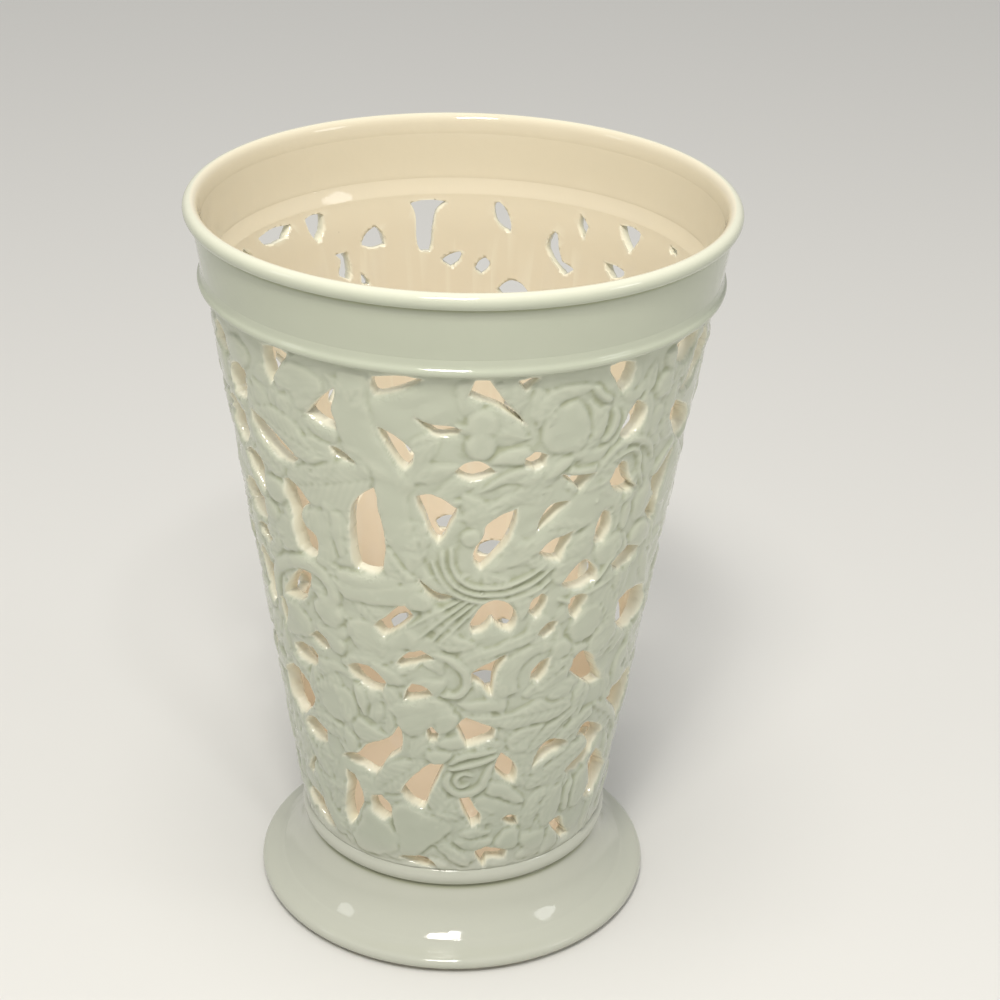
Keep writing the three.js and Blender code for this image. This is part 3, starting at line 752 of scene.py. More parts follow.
def lay_string(points, half_width, top):
    """Lays a string of clay that tapers at both ends."""
    cells, x, y, flat = window(points, half_width + 2)
    path = curve_through(flat, closed=False)
    nearest, share = np.full(x.shape, far_away), np.zeros(x.shape)
    for i, (start, end) in enumerate(zip(path, path[1:])):
        t, off_x, off_y = from_line(x, y, start, end)
        away = np.hypot(off_x, off_y)
        share = np.where(away < nearest, (i + t) / (len(path) - 1), share)
        nearest = np.minimum(nearest, away)
    taper = 0.45 + 0.55 * np.sqrt(np.clip(4 * share * (1 - share), 0, 1))
    lay(cells, half_width * taper - nearest, top, half_width)


def lay_button(centre, radius, top, petals=0):
    """Lays a round domed button, with petals pressed into it where a number is given."""
    cells, x, y, flat = window([centre], radius + 2)
    away, turn = np.hypot(x, y), np.arctan2(y, x)
    dome = 0.25 * np.sqrt(np.clip(1 - (away / radius) ** 2, 0, 1))
    lines = 0.25 * np.maximum(0, np.cos(petals * turn)) ** 4 * smooth_step(0.3, 0.5, away / radius)
    lay(cells, radius - away, top + dome, radius * 0.6, lines if petals else 0)

# %% [markdown]
# ## The ground
# Between the large shapes the wall is crowded with small worn leaves. Several hundred of them
# are laid first, over the whole wall, each turned and sized by seeded chance. They show wherever
# nothing larger covers them, and most of all at the back.

# %% Lay the small ground leaves
relief += 0.55 + 0.1 * waves(7) + 0.08 * waves(20)
wobble = 0.2 * waves(5) + 0.08 * waves(2.2)
leaf_side = [(0, 0.0), (0.2, 0.62), (0.45, 1.0), (0.7, 0.78), (0.9, 0.32)]
leaf_shape = np.array(leaf_side + [(1.02, 0.0)] + [(u, -v) for u, v in leaf_side[:0:-1]]) - (0.5, 0)
ground_leaves = 620
for _ in range(ground_leaves):
    angle, height = chance.uniform(-180, 180), chance.uniform(wall_low + 4, wall_high - 4)
    length, width = chance.uniform(11, 21), chance.uniform(2.8, 4.8)
    turn, bend = chance.uniform(0, 2 * math.pi), chance.uniform(-0.25, 0.25)
    u = leaf_shape[:, 0] * length
    v = leaf_shape[:, 1] * width + bend * leaf_shape[:, 0] ** 2 * length
    dx, dy = u * math.cos(turn) - v * math.sin(turn), u * math.sin(turn) + v * math.cos(turn)
    degrees = angle + np.degrees(dx / skin_radius(height))
    inside_wall = np.clip(height + dy, wall_low + 1, wall_high - 1)
    tooling = (veins, ribs, ribs)[chance.randint(3)]
    lay_pad(np.stack([degrees, inside_wall], axis=1), chance.uniform(0.8, 1.0), tooling)
print("laid", ground_leaves, "ground leaves")

# %% [markdown]
# ## The modelled shapes
# These are the leaves, petals, birds' feathers and stems that the photograph shows, each as points
# of (degrees round the wall, height in mm), with 0 degrees facing the camera. They are in the
# order in which they lie over one another. A pad says how it is tooled and then its outline, a
# string half its width in mm and then its path, and a button its radius, its number of petals and
# its middle. Points are written as plain text, which is shorter than lists, and a function reads
# them. The back can't be seen, so the same shapes come again there, turned with the openings that
# they frame.

# %% Outlines of the modelled shapes
modelled_pads = {
    "the swathe and the bird at the front": """
    plain: -27.5 186, -29 179, -27.2 171, -20.5 165, -20 158.5, -19.3 154, -17.9 143.7, -14.4 136.3,
    -9.7 131.2, -4.4 127.5, 0.9 125.3, 3.2 126.3, -2.6 129.4, -6.2 132.5, -8.5 138.7, -9.7 145,
    -11.4 151.2, -11.4 157.5, -9.7 160.6, -12.6 164.4, -16 170, -18.5 177, -20 185, -20 192.5,
    -26 192.5;
    plain: 32.2 157.6, 37.2 158.3, 39.6 154, 43 149.7, 44 146.9, 42.4 144, 41.2 145.4, 40 147.6,
    37.8 147.6, 34.7 144.7, 29.7 143.3, 24.8 141.5, 20.1 138.6, 15.5 136.1, 10.5 134, 6.8 134.4,
    10.5 139, 13.6 142.6, 19.2 145.4, 22.3 148.3, 26 152.6, 29.1 156.1""",
    "a bud with its leaf, petals and scallops": """
    veined: 16.7 186.1, 21 189.7, 27.2 189.7, 30.3 188.6, 32.2 186.1, 29.7 186.9, 24.8 185.8,
    21 184, 18.6 180.4, 17 177.6, 16.4 181.1;
    plain: 25.1 185.4, 27.2 183.3, 29.1 179.7, 30 176.1, 29.7 172.6, 27.9 169.7, 24.8 169, 21 170.1,
    18.6 172.6, 17.9 176.1, 18.9 180.4, 21.7 183.6;
    plain: 28.8 184, 32.2 181.1, 34.4 178.3, 34.4 174.7, 32.8 171.9, 31 171.9, 30 176.1, 29.4 180.4;
    ribbed: 35.3 180.1, 37.5 178.6, 38.1 175.4, 37.2 171.9, 35 169.7, 33.1 170.4, 34.7 172.6,
    35.6 175.4, 35.6 177.9;
    ribbed: 37.8 179.4, 40 177.2, 40.3 173.3, 38.4 169.4, 35.3 166.5, 34.7 167.6, 37.2 170.4,
    38.7 173.6, 38.7 176.9;
    plain: 26.6 169, 29.7 169.4, 33.4 169, 35.9 169.4, 35.3 166.1, 32.2 164.7, 28.8 165.1,
    26.9 166.5;
    ribbed: 26.3 164.7, 29.7 163.6, 33.1 164, 33.1 161.5, 29.7 161, 26.6 162, 25.4 162.9;
    plain: 22.9 167.9, 26 168.3, 26.3 165.8, 24.1 163.3, 21 161.9, 19.5 162.6, 21 165.4""",
    "leaves round the upper openings on the right": """
    veined: 4.9 159.7, 6.8 162.6, 10.5 165.4, 15.5 167.2, 18.9 166.5, 18.9 163.3, 15.5 161.1,
    10.5 161.9, 7.4 160.4;
    veined: 4.3 151.9, 6.8 155.4, 10.5 158.3, 14.8 160.1, 19.8 159.7, 22.3 158.6, 21.7 156.1,
    19.2 154, 17.3 154.7, 14.8 155.1, 11.1 154, 8 151.9;
    plain: 28.8 187.6, 30.3 188.6, 32.2 186.1, 35 183.3, 35.3 182.2, 33.4 182.2, 31 184;
    plain: 6.8 168.3, 8.9 171.9, 15.5 172.6, 16.4 169.4, 14.8 167.6, 11.1 167.6;
    veined: 46.5 190.4, 48.3 186.9, 47.7 182.6, 45.8 180.4, 44 181.9, 44 186.1;
    plain: 49.9 191.1, 53.9 191.9, 54.8 187.6, 53.9 184.7, 50.8 186.9;
    plain: 37.8 183.3, 42.1 184.7, 44 186.1, 44 181.1, 40.9 179.7, 38.4 181.1;
    plain: 49.6 174.7, 53 175.4, 53.6 170.4, 52 166.1, 49.6 166.9, 48.6 171.1;
    plain: 53.9 176.1, 57.6 179.7, 58.9 174, 57 170.4, 54.2 171.1""",
    "lobes and pads below the bird and on the right flank": """
    plain: 48.9 148.3, 52.7 150.4, 55.8 148.3, 57 144.7, 55.1 141.1, 52 139, 49.6 139.7, 48.3 144;
    ribbed: 49.6 135.4, 52.7 138.3, 56.4 137.6, 58.9 133.3, 58.9 130.4, 56.4 129, 52.7 130.4,
    49.6 132.6;
    veined: 53.6 151.9, 55.1 156.1, 58.9 159, 62.9 160.4, 63.5 158.3, 60.7 154.7, 57 151.9;
    ribbed: 56.4 150.4, 60.7 153.3, 66.3 158.3, 71.3 154, 72.5 148.3, 68.2 139.7, 60.7 139.7,
    57 144;
    plain: 44.6 147.6, 47.1 146.9, 47.7 142.6, 46.5 138.3, 44.3 139.7, 44 144;
    plain: 42.7 134.7, 45.2 136.9, 46.5 134, 44 129.7, 40.9 127.6, 40.3 129.7;
    plain: 35.3 145.4, 36.2 141.1, 35.3 134.7, 32.2 133.3, 28.5 131.1, 26 129.7, 25.4 134.7,
    28.5 139, 32.2 143.3""",
    "pads round the tail, and an arched petal": """
    veined: -17.3 140.6, -13.2 135, -10.3 131.2, -12.6 128.8, -16.7 130, -18.8 133.1;
    plain: -32 129.4, -26.1 130, -19.1 131.2, -14.4 130, -15.6 126.2, -20.3 123.8, -26.1 123.8,
    -32 125;
    plain: -12.6 115.6, -8.5 120, -4.4 122.5, -2.6 120, -7.3 113.8, -12.6 107.5, -16.7 106.2,
    -20.3 108.1;
    veined: 0.9 103.8, 5.6 104.4, 12.6 106.2, 20.9 109.4, 24.4 111.9, 27.3 115, 22 113.8,
    16.2 111.9, 9.1 108.8, 3.2 106.2;
    ribbed: 11.5 95.6, 12 100, 14.4 104.4, 19.1 107.5, 24.4 108.4, 28.5 108.1, 27.9 105.6,
    23.2 104.4, 19.7 101.9, 17.9 98.1, 17.9 93.1, 15 91.2, 12 92.5;
    veined: -2.6 114.4, 2.1 112.5, 5.6 110, 0.9 107.5, -3.8 108.1, -5 110.6""",
    "a small flower and the pads beside it": """
    plain: 31.7 120.6, 34.4 121.2, 35.5 116.9, 32.6 113.8, 30.8 116.9;
    plain: 32.6 113.8, 37.3 116.9, 42 115.6, 43.8 110.6, 41.4 105.6, 35.5 105, 32 108.8;
    ribbed: 40.2 104.4, 45 107.5, 46.7 102.5, 46.1 98.1, 42 95.6, 39.7 99.4;
    plain: 28.5 108.1, 32 107.5, 33.8 103.8, 30.3 101.2, 27.3 103.1;
    veined: 14.4 124.4, 19.1 125, 19.1 120, 17.3 116.9, 15.6 120;
    veined: 25 132.5, 29.7 135, 35.5 132.5, 37.9 131.2, 32.6 132.5, 27.3 126.9, 25.6 127.5;
    plain: 36.7 135, 40.2 137.5, 45 138.8, 46.1 131.2, 41.4 128.8, 37.9 131.2""",
    "large leaves, a column and a pod on the left": """
    veined: -55.9 169.9, -51.1 173.2, -45.5 174.5, -40.7 173.2, -36.8 168.7, -32.8 164.5,
    -30.4 165.3, -35.2 161.6, -39.9 161.2, -43.1 164.5, -48.7 167.8, -53.5 169.1;
    veined: -45.5 155.3, -41.5 158.7, -35.2 161.2, -30.4 163.7, -25.6 165.8, -20.8 164.5, -20 161.2,
    -20.8 157.8, -24 151.2, -28.8 149.1, -33.6 148.2, -38.4 147.8, -41.5 151.2, -44.7 152.8;
    veined: -56.7 162.8, -51.9 162, -47.1 158.7, -45.5 155.3, -48.7 152, -53.5 152.8, -57.5 157;
    ribbed: -41.5 145.3, -36.8 146.6, -32.8 147, -32.4 138.7, -32 132, -37.6 128.7, -39.2 130.3,
    -38 137, -41.5 140.3;
    ribbed: -32 147.8, -29.6 147.8, -28.8 142, -29.2 134.5, -31.2 133.7, -32.4 138.7, -32.8 144.5;
    plain: -37.2 174.1, -35.2 176.2, -30.4 176.6, -28 173.7, -28.4 169.9, -32.8 170.3, -36 172""",
    "small pads up the left flank": """
    plain: -53.5 138.7, -48.7 140.3, -43.9 138.7, -43.1 133.7, -45.5 129.5, -50.3 128.7, -53.5 132;
    plain: -55.9 148.7, -51.9 151.2, -47.1 150.3, -47.1 145.3, -51.1 142.8, -55.1 144.5;
    plain: -57.5 142, -52.7 142, -51.1 138.7, -54.3 135.3, -57.5 137;
    veined: -67 153.7, -63.8 152.8, -58.3 146.2, -55.9 142.8, -58.3 141.2, -63.1 145.3, -66.2 149.5;
    plain: -70.2 167, -64.6 168.7, -61.5 164.5, -60.7 158.7, -63.1 155.3, -68.6 155.3, -70.2 160.3;
    ribbed: -64.6 187, -59.1 190.3, -54.3 188.7, -53.5 184.5, -56.7 181.2, -61.5 179.5, -63.8 183.7;
    ribbed: -43.9 187, -39.9 190.3, -34.4 190.3, -30.4 187, -33.6 179.5, -38.4 177, -40.7 182,
    -43.1 180.3, -45.1 182.8""",
    "a peony": """
    ribbed: -46.3 93.7, -40.7 96.2, -33.6 96.2, -27.2 93.7, -30.4 92, -36.8 92.8, -43.1 89.5;
    plain: -45.9 84.5, -43.9 87.8, -39.2 88.7, -32.8 87.8, -30.4 84.5, -31.2 79.5, -35.2 75.8,
    -40.7 75.3, -44.7 78.7;
    plain: -30.4 92, -27.2 89.5, -26.4 84.5, -28 80.3, -30 83.7, -31.2 87.8;
    ribbed: -26.4 91.2, -22.4 88.7, -21.6 82.8, -24 78.7, -26.4 80.3, -26 85.3;
    plain: -21.6 92, -18.4 87, -17.6 81.2, -20 75.3, -22.4 77, -20.8 82.8;
    ribbed: -30.4 79.5, -25.6 77.8, -20 75.3, -23.2 72.8, -28.8 71.2, -32.8 73.7;
    plain: -40.7 74.5, -36.8 73.7, -35.2 70.3, -37.6 67.8, -39.9 70.3;
    plain: -36 74.5, -32 72, -31.2 68.7, -34.4 66.2, -36.8 68.7""",
    "pads across the middle of the left": """
    plain: -55.1 110.3, -48.7 110.3, -43.9 105.3, -45.5 101.2, -51.1 99.5, -57.5 97, -56.7 103.7;
    ribbed: -40.7 117, -33.6 117, -32 112, -35.2 108.7, -39.9 109.5, -42.3 112.8;
    plain: -42.3 107.8, -36.8 107, -32 103.7, -33.6 99.5, -39.2 101.2;
    ribbed: -30.4 112.8, -24 114.5, -19.2 110.3, -20 103.7, -27.2 103.7, -31.2 107.8;
    plain: -24 101.2, -17.6 99.5, -14.5 95.3, -19.2 93.7, -23.2 96.2;
    plain: -34.4 126.2, -27.2 125.3, -19.2 127, -10 130.3, -10 121.2, -16.1 121.2, -23.2 120.3,
    -30.4 120.3, -32.8 122.8""",
    "pads, a heart and a ribbed leaf low down": """
    ribbed: -18.3 87.9, -12.8 89.3, -5.7 91.4, -1.7 89.3, -0.2 85, -4.9 81.4, -8 79.3, -12.8 76.4,
    -16.7 78.6, -18.3 82.9;
    plain: -5.7 84.3, -1.7 86.4, 1.4 85.7, 0.6 81.4, -3.3 78.6, -5.7 80;
    plain: -4.9 75.7, -1.7 77.9, 2.2 78.6, 3 74.3, -0.2 72.9, -4.1 73.6;
    plain: -8.8 72.1, -4.9 72.9, -0.2 71.4, -1.7 68.6, -5.7 67.1, -8.8 69.3;
    veined: -26.9 57.1, -25.4 60.7, -20.6 65.7, -15.1 67.9, -8.8 68.6, -9.6 65.7, -12.8 61.4,
    -16.7 55.7, -20.6 53.9, -24.6 54.3;
    plain: -20.6 50, -15.9 51.4, -9.6 48.6, -3.3 47.1, -0.2 43.6, -2.5 40, -6.5 37.1, -11.2 32.9,
    -15.9 30.7, -19.1 32.9, -20.6 38.6, -21.4 44.3;
    plain: -30.9 47.1, -26.1 45.7, -22.2 42.1, -19.1 37.1, -19.8 32.9, -23.8 30, -30.1 28.2,
    -36.4 28.6, -38.7 32.9, -34.8 39.3;
    plain: -56.9 62.1, -52.9 60.7, -48.2 57.1, -45 52.9, -45.8 50.7, -50.6 52.1, -54.5 55,
    -56.5 58.6;
    plain: -55.3 52.9, -51.3 48.6, -47.4 41.4, -41.9 35, -42.7 30.7, -47.4 30.7, -52.1 37.1,
    -55.3 45.7, -56.9 50;
    veined: -4.9 37.9, -0.2 37.1, 5.4 32.9, 6.9 30, 3 28.6, -1.7 31.4, -5.7 35;
    plain: -8.8 32.1, -4.9 31.4, -0.2 27.9, -4.9 27.1, -8.8 28.6;
    ribbed: -5.7 60, -1.7 55.7, 1.4 50.7, 2.2 47.1, -1.7 46.4, -7.2 49.3, -8.8 52.9, -7.2 57.1;
    plain: 0.6 41.4, 5.4 43.6, 10 42.9, 10 35.7, 4.6 35, 0.6 37.9""",
    "slender leaves on the right": """
    veined: 3 85.4, 9.7 85, 16 85, 21.5 87.1, 26.2 88.6, 29.4 86.4, 36.5 85, 37.2 82.1, 30.9 79.3,
    24.6 79.3, 17.6 79.3, 12 80.7, 7.3 82.1;
    veined: 23.9 71.4, 27 76.4, 32.5 79.3, 38 81.4, 40.4 81.4, 38.8 78.6, 34.1 75.7, 29.4 71.4,
    25.4 70;
    veined: 33.3 71.4, 38.8 76.4, 43.5 78.6, 47.5 78.6, 48.3 75, 43.5 72.9, 38.8 70, 35.7 68.6;
    veined: 19.1 78.6, 24.6 79.3, 28.6 78.6, 25.4 74.3, 21.5 70, 17.6 71.4, 16 75.7;
    veined: 23.9 56.8, 27 60.7, 32.5 63.6, 38.8 65.7, 44.3 67.1, 48.7 65.7, 48.3 62.9, 44.3 60.7,
    40.4 57.9, 34.9 55, 29.4 55, 25.4 55;
    veined: 25.4 60.7, 27 64.3, 30.9 66.4, 36.5 67.1, 38.8 65.7, 32.5 63.6, 27.8 60.7""",
    "a lotus, scales and a fan": """
    plain: 23.9 45.7, 25.4 51.4, 28.6 54.3, 32.5 54.6, 30.9 48.6, 29.4 42.9, 28.6 40, 24.6 40.7;
    ribbed: 30.9 43.6, 31.7 50, 34.9 53.6, 38.8 53.6, 40.4 47.9, 38.8 41.4, 35.7 38.6, 32.5 39.3;
    plain: 40.4 47.9, 41.2 52.1, 44.3 53.6, 44.3 47.1, 43.5 41.4, 41.2 42.1;
    ribbed: 44.3 47.1, 46.7 54.3, 50.6 55.7, 53.8 51.4, 54.2 45.7, 52.2 42.1, 48.3 40.4, 45.1 42.1;
    plain: 24.6 38.6, 29.4 38.6, 34.1 37.9, 35.3 34.3, 34.1 31.4, 28.6 31.4, 24.6 34.3, 23.9 36.4;
    plain: 35.7 37.1, 38 37.9, 41.2 34.3, 42 30, 38.8 27.9, 34.1 27.9, 33.3 30, 35.3 33.6;
    plain: 15.2 38.6, 19.1 42.1, 23.1 41.4, 23.9 38.6, 23.1 33.6, 18.3 33.6, 14.8 35.7;
    plain: 6.5 54.3, 11.3 55.7, 16.8 52.9, 23.9 50, 23.9 47.9, 19.1 46.8, 13.6 47.9, 8.9 50.7;
    plain: 11.3 60.7, 16 60, 21.5 55.7, 24.6 50.7, 21.5 50.7, 16 53.6, 10.5 56.4""",
    "pads that fill what is left": """
    plain: 1.8 41.4, 5 43.6, 9.7 43.6, 13.6 41.4, 9.7 39.6, 5 39.6;
    plain: 0.2 38.6, 5 39.3, 9.7 39.3, 14.4 38.6, 12.8 35.7, 7.3 35, 2.6 35.7;
    plain: -5.3 35.7, -0.6 36.4, 5 32.1, 6.5 28.6, 1.8 29.3, -2.9 32.9;
    plain: 0.2 90, 5 90.7, 10.5 90.7, 15.2 89.3, 14.4 86.4, 8.9 86.4, 3.4 87.1;
    ribbed: 41.2 105.7, 45.1 108.6, 50.6 108.6, 52.2 104.3, 51.4 100.7, 46.7 98.6, 43.5 99.3,
    40.4 101.4;
    plain: 34.1 104.3, 37.2 104.3, 40.4 102.9, 38.8 100.7, 34.9 100.7;
    veined: 26.2 97.9, 30.9 101.4, 34.9 100.7, 34.9 97.1, 34.1 93.6, 29.4 92.1, 24.6 90.7,
    20.7 89.3, 19.9 91.4, 23.9 95;
    plain: 27.8 88.6, 32.5 91.4, 37.2 88.6, 34.1 86.4, 29.4 87.1;
    plain: 54.6 89.3, 56.9 93.6, 61.7 95, 63.2 90, 60.9 86.4, 64.8 84.3, 63.2 80.7, 58.5 80,
    55.4 83.6;
    plain: 59.3 64.3, 63.2 60, 64.8 54.3, 60.9 52.9, 59.3 57.9""",
}
modelled_strings = {
    "wing feathers": """
    0.9: -1.5 141.9, -1.2 136.2, 1.5 131.2, 6.2 129.1, 12.6 129.4, 18.5 131.9, 22.6 135;
    0.9: -3.8 140.6, -3.2 135, 0 129.4, 5.6 126.9, 12.6 126.9, 19.7 129.4, 24.4 133.1;
    0.9: -6.2 137.5, -4.4 132.5, -0.9 127.5, 4.4 124.9, 12.6 124.4, 20.9 126.9, 24.4 129.4""",
    "tail feathers": """
    0.7: 2.7 124.7, -4.4 118.1, -9.7 111.9;
    0.7: 4.4 124.1, -2 117.5, -6.7 110.6;
    0.6: 0.9 124.9, -6.7 120, -12.6 115;
    0.6: 6.2 124.1, 1.5 118.1, -3.8 111.2""",
    "the crest": """
    1.3: 32.8 160.4, 35.9 164.7, 39.6 167.9, 44.6 167.6, 48.3 165.4, 50.8 162.6, 52.7 158.3;
    0.9: 37.2 163.3, 43.4 164.7, 46.5 162.6, 47.7 156.9, 50.2 151.1""",
    "a twig and a branch": """
    0.8: 45 133.1, 40.8 126.9, 37.3 122.5;
    1.0: 27.3 122.2, 31.4 120.3, 36.1 121.6, 45 123.4""",
    "scrolls and hooks": """
    2.5: -59.9 108.7, -59.1 116.2, -55.1 121.2, -49.5 124.9, -43.1 127, -38.4 126.2, -34.8 122.4,
    -34.4 118.7, -36.8 117, -39.6 118.2;
    1.4: -5.7 107.1, -0.9 105, 2.8 100.7, 3.2 95.7, 0.6 92.5, -2.5 93.2;
    1.3: -6.5 106.8, -1.3 104.3, 2.6 100, 3.2 95.7, 0.2 92.5, -3.7 92.3""",
    "a spiral and the arches round it": """
    1.6: -1.3 64.3, -2.3 60.7, 0.2 57.5, 5 56.8, 8.9 58.9, 10.6 63.2, 12 67.1;
    1.0: 6.1 63.2, 3 64.3, 0.6 62.1, 1.8 59.6, 4.8 60;
    1.6: 48.3 78.6, 56.9 72.9, 63.2 67.1, 68 60;
    1.3: -1.3 67.9, 1.8 70, 7.3 71.4, 12.8 72.1;
    1.3: -1.3 65.7, 4.2 67.1, 9.7 68.6, 13.6 70""",
}
modelled_buttons = [
    (4.4, 0, (4.9, 180.4)),  # a berry
    (4.3, 0, (4.6, 173.6)),  # a berry
    (3.0, 0, (3.2, 145.4)),  # a small berry
    (0.7, 0, (34.7, 151.7)),  # the bird's eye
    (4.4, 5, (51.7, 181.5)),  # a rosette of five petals
    (3.6, 0, (-9.4, 124.1)),  # a disc
]


def shapes_of(tables):
    """The shapes in some tables, in order: what each one is, and its points."""
    for table in tables.values():
        for shape in table.split(";"):
            kind, points = shape.split(":")
            yield kind.strip(), [tuple(map(float, point.split())) for point in points.split(",")]


for kind, shapes in (("pads", modelled_pads), ("strings of clay", modelled_strings)):
    print(len(list(shapes_of(shapes))), kind, "for", ", ".join(shapes))

# %% Lay the modelled shapes, those of the back first
string_top, button_top = 1.25, 1.15


def lay_all(turn, first, last):
    """Lays the modelled shapes, turned by some degrees, that fall between two angles."""
    def falls(points):
        middle = around(np.mean([angle for angle, _ in points]) + turn)
        return first <= middle <= last if first < last else middle >= first or middle <= last

    def moved(points):
        return [(angle + turn, height) for angle, height in points]

    tops = np.random.RandomState(11)
    for tooling, points in shapes_of(modelled_pads):
        top = tops.uniform(0.8, 1.35)
        if falls(points):
            lay_pad(moved(points), top, {"veined": veins, "ribbed": ribs, "plain": None}[tooling])
    for half_width, points in shapes_of(modelled_strings):
        if falls(points):
            lay_string(moved(points), float(half_width), string_top)
    for radius, petals, middle in modelled_buttons:
        if falls([middle]):
            lay_button(moved([middle])[0], radius, button_top, petals)


lay_all(263, -150, -66)
lay_all(162, 72, -140)
lay_all(0, -82, 82)

# %% [markdown]
# ## Softening the relief
# The modeller keeps the whole wall nearly level, so wide swells are evened out. Firing and glaze
# round off everything, so the map is averaged over a fifth of a millimetre. The difference from
# a wider average tells the hollows, where the glaze pools and painted crease shade darkens them,
# from the ridges, which are painted a little paler as thin glaze and painted light. The relief
# dies away to a plain groove along the top and bottom of the wall.

# %% Soften the relief and find its hollows
relief_depth = 1.4
usual_height = 0.95
relief -= 0.4 * (softened(relief, 4.5) - usual_height)
relief = usual_height + 1.2 * (relief - usual_height)
relief = softened(np.clip(relief, 0, 1.38), 0.18)
dip = softened(relief, 0.6) - relief
# Hollows take pooled glaze and painted crease shade; ridges a little thin glaze and painted light
pool_and_shade_mark = softened(smooth_step(0.03, 0.16, dip), 0.2) - 0.12 * smooth_step(0, 0.05, -dip)
relief = np.minimum(relief + 0.05 * waves(3) + 0.11 * waves(7), relief_depth)
ends = smooth_step(wall_low, wall_low + 1.6, heights)
ends = (ends * smooth_step(wall_high - 0.2, wall_high - 1.2, heights))[:, None]
relief = relief * ends + 0.6 * (1 - ends)
print("a tenth of the wall dips by over %.2f mm" % np.percentile(dip, 90))
print("relief from", round(float(relief.min()), 2), "to", round(float(relief.max()), 2), "mm")

# %% [markdown]
# ## Rounded cuts
# A knife leaves sharp arrises, and a damp sponge rounds them before the glaze goes on. The
# sponge wipes downwards over the lower edge of each opening, so that edge is worn widest and
# least evenly, and it catches the light.

# %% Round the edges of the cuts
def rounding_drop(away, reach, fall):
    """How far an edge, rounded over some reach in mm, has fallen at a distance from the cut."""
    share = np.clip(1 - away / reach, 0, 1)
    return fall * (1 - np.sqrt(1 - share**2))


downhill = np.clip(-np.gradient(clay, heights, axis=0), 0, 1)
wear = softened(downhill * (1 + 0.35 * waves(3.2)), 0.5)
outer_reach, outer_fall = 0.6 + 1.5 * wear, 0.38 + 1.2 * wear
inner_rounding = 0.45
wiped = softened(downhill, 0.6) * smooth_step(3.6, 1.0, clay) * smooth_step(-0.6, 0.5, waves(4))
face = skin_radius(heights)[:, None] - relief_depth + relief
surface = face - rounding_drop(np.maximum(clay, 0), outer_reach, outer_fall)
surface_at_cut = face - outer_fall

# %% [markdown]
# ## Cutting the grid
# Each square of the grid is two triangles. A triangle whose corners all lie in clay is kept, one
# that lies in an opening is dropped, and one that the cut crosses is trimmed along it. Corners
# that are almost on the cut count as on it, so no sliver is left. The inside of the wall is a
# second sheet, made the same way on a coarser grid because it is smooth, and turned round.

# %% Trim a sheet along the cuts
almost_on_cut = 0.12


def looked_up(field, degrees, height):
    """The value of a grid at some places on the wall."""
    column = around(degrees) / 360 * columns + columns / 2
    row = np.clip((height - wall_low) / wall_rise * (rows - 1), 0, rows - 1.001)
    c, r = np.floor(column).astype(int), np.floor(row).astype(int)
    u, v = column - c, row - r
    low_row = field[r, c % columns] * (1 - u) + field[r, (c + 1) % columns] * u
    high_row = field[r + 1, c % columns] * (1 - u) + field[r + 1, (c + 1) % columns] * u
    return low_row * (1 - v) + high_row * v


def trimmed_sheet(coarseness):
    """Triangles of the clay, and the (angle, height, distance to the cut) of each corner."""
    across, along = columns // coarseness, rows // coarseness
    degrees = np.arange(across) * 360 / across - 180
    levels = np.linspace(wall_low, wall_high, along)
    values = np.zeros((along * across, 3))
    values[:, 0], values[:, 1] = np.tile(degrees, along), np.repeat(levels, across)
    away = clay.reshape(-1) if coarseness == 1 else looked_up(clay, values[:, 0], values[:, 1])
    values[:, 2] = away
    index = np.arange(along * across).reshape(along, across)
    right_of = np.roll(index, -1, axis=1)
    a, b, c, d = index[:-1], right_of[:-1], right_of[1:], index[1:]
    halves = (a, b, c), (a, c, d)
    triangles = np.concatenate([np.stack(half, axis=-1).reshape(-1, 3) for half in halves])
    kept = away > 0
    count = kept[triangles].sum(axis=1)

    def odd_one_first(group, wanted):
        odd = (kept[group] == wanted).argmax(axis=1)
        return np.stack([group[np.arange(len(group)), (odd + k) % 3] for k in range(3)], axis=1)

    single = odd_one_first(triangles[count == 1], True)
    double = odd_one_first(triangles[count == 2], False)
    crossing = [single[:, [0, 1]], single[:, [0, 2]], double[:, [1, 0]], double[:, [2, 0]]]
    crossing = np.concatenate(crossing)
    share = away[crossing[:, 0]] / (away[crossing[:, 0]] - away[crossing[:, 1]])
    near, far = share < almost_on_cut, share > 1 - almost_on_cut
    between = ~(near | far)
    key = crossing[:, 0] * len(values) + crossing[:, 1]
    _, first, inverse = np.unique(key[between], return_index=True, return_inverse=True)
    point = np.where(near, crossing[:, 0], crossing[:, 1])
    point[between] = len(values) + inverse.reshape(-1)

    start, end, t = crossing[between][first, 0], crossing[between][first, 1], share[between][first]
    step = values[end] - values[start]
    step[:, 0] = around(step[:, 0])
    added = values[start] + step * t[:, None]
    values[np.concatenate([crossing[near, 0], crossing[far, 1]]), 2] = 0
    added[:, 2] = 0
    values = np.concatenate([values, added])

    p, q, r, s = np.split(point, np.cumsum([len(single), len(single), len(double)]))
    trimmed = (single[:, 0], p, q), (r, double[:, 1], double[:, 2]), (r, double[:, 2], s)
    sheet = np.concatenate([triangles[count == 3]] + [np.stack(sides, axis=1) for sides in trimmed])
    whole = (sheet != np.roll(sheet, 1, axis=1)).all(axis=1)
    used, sheet = np.unique(sheet[whole], return_inverse=True)
    return sheet.reshape(-1, 3), values[used]

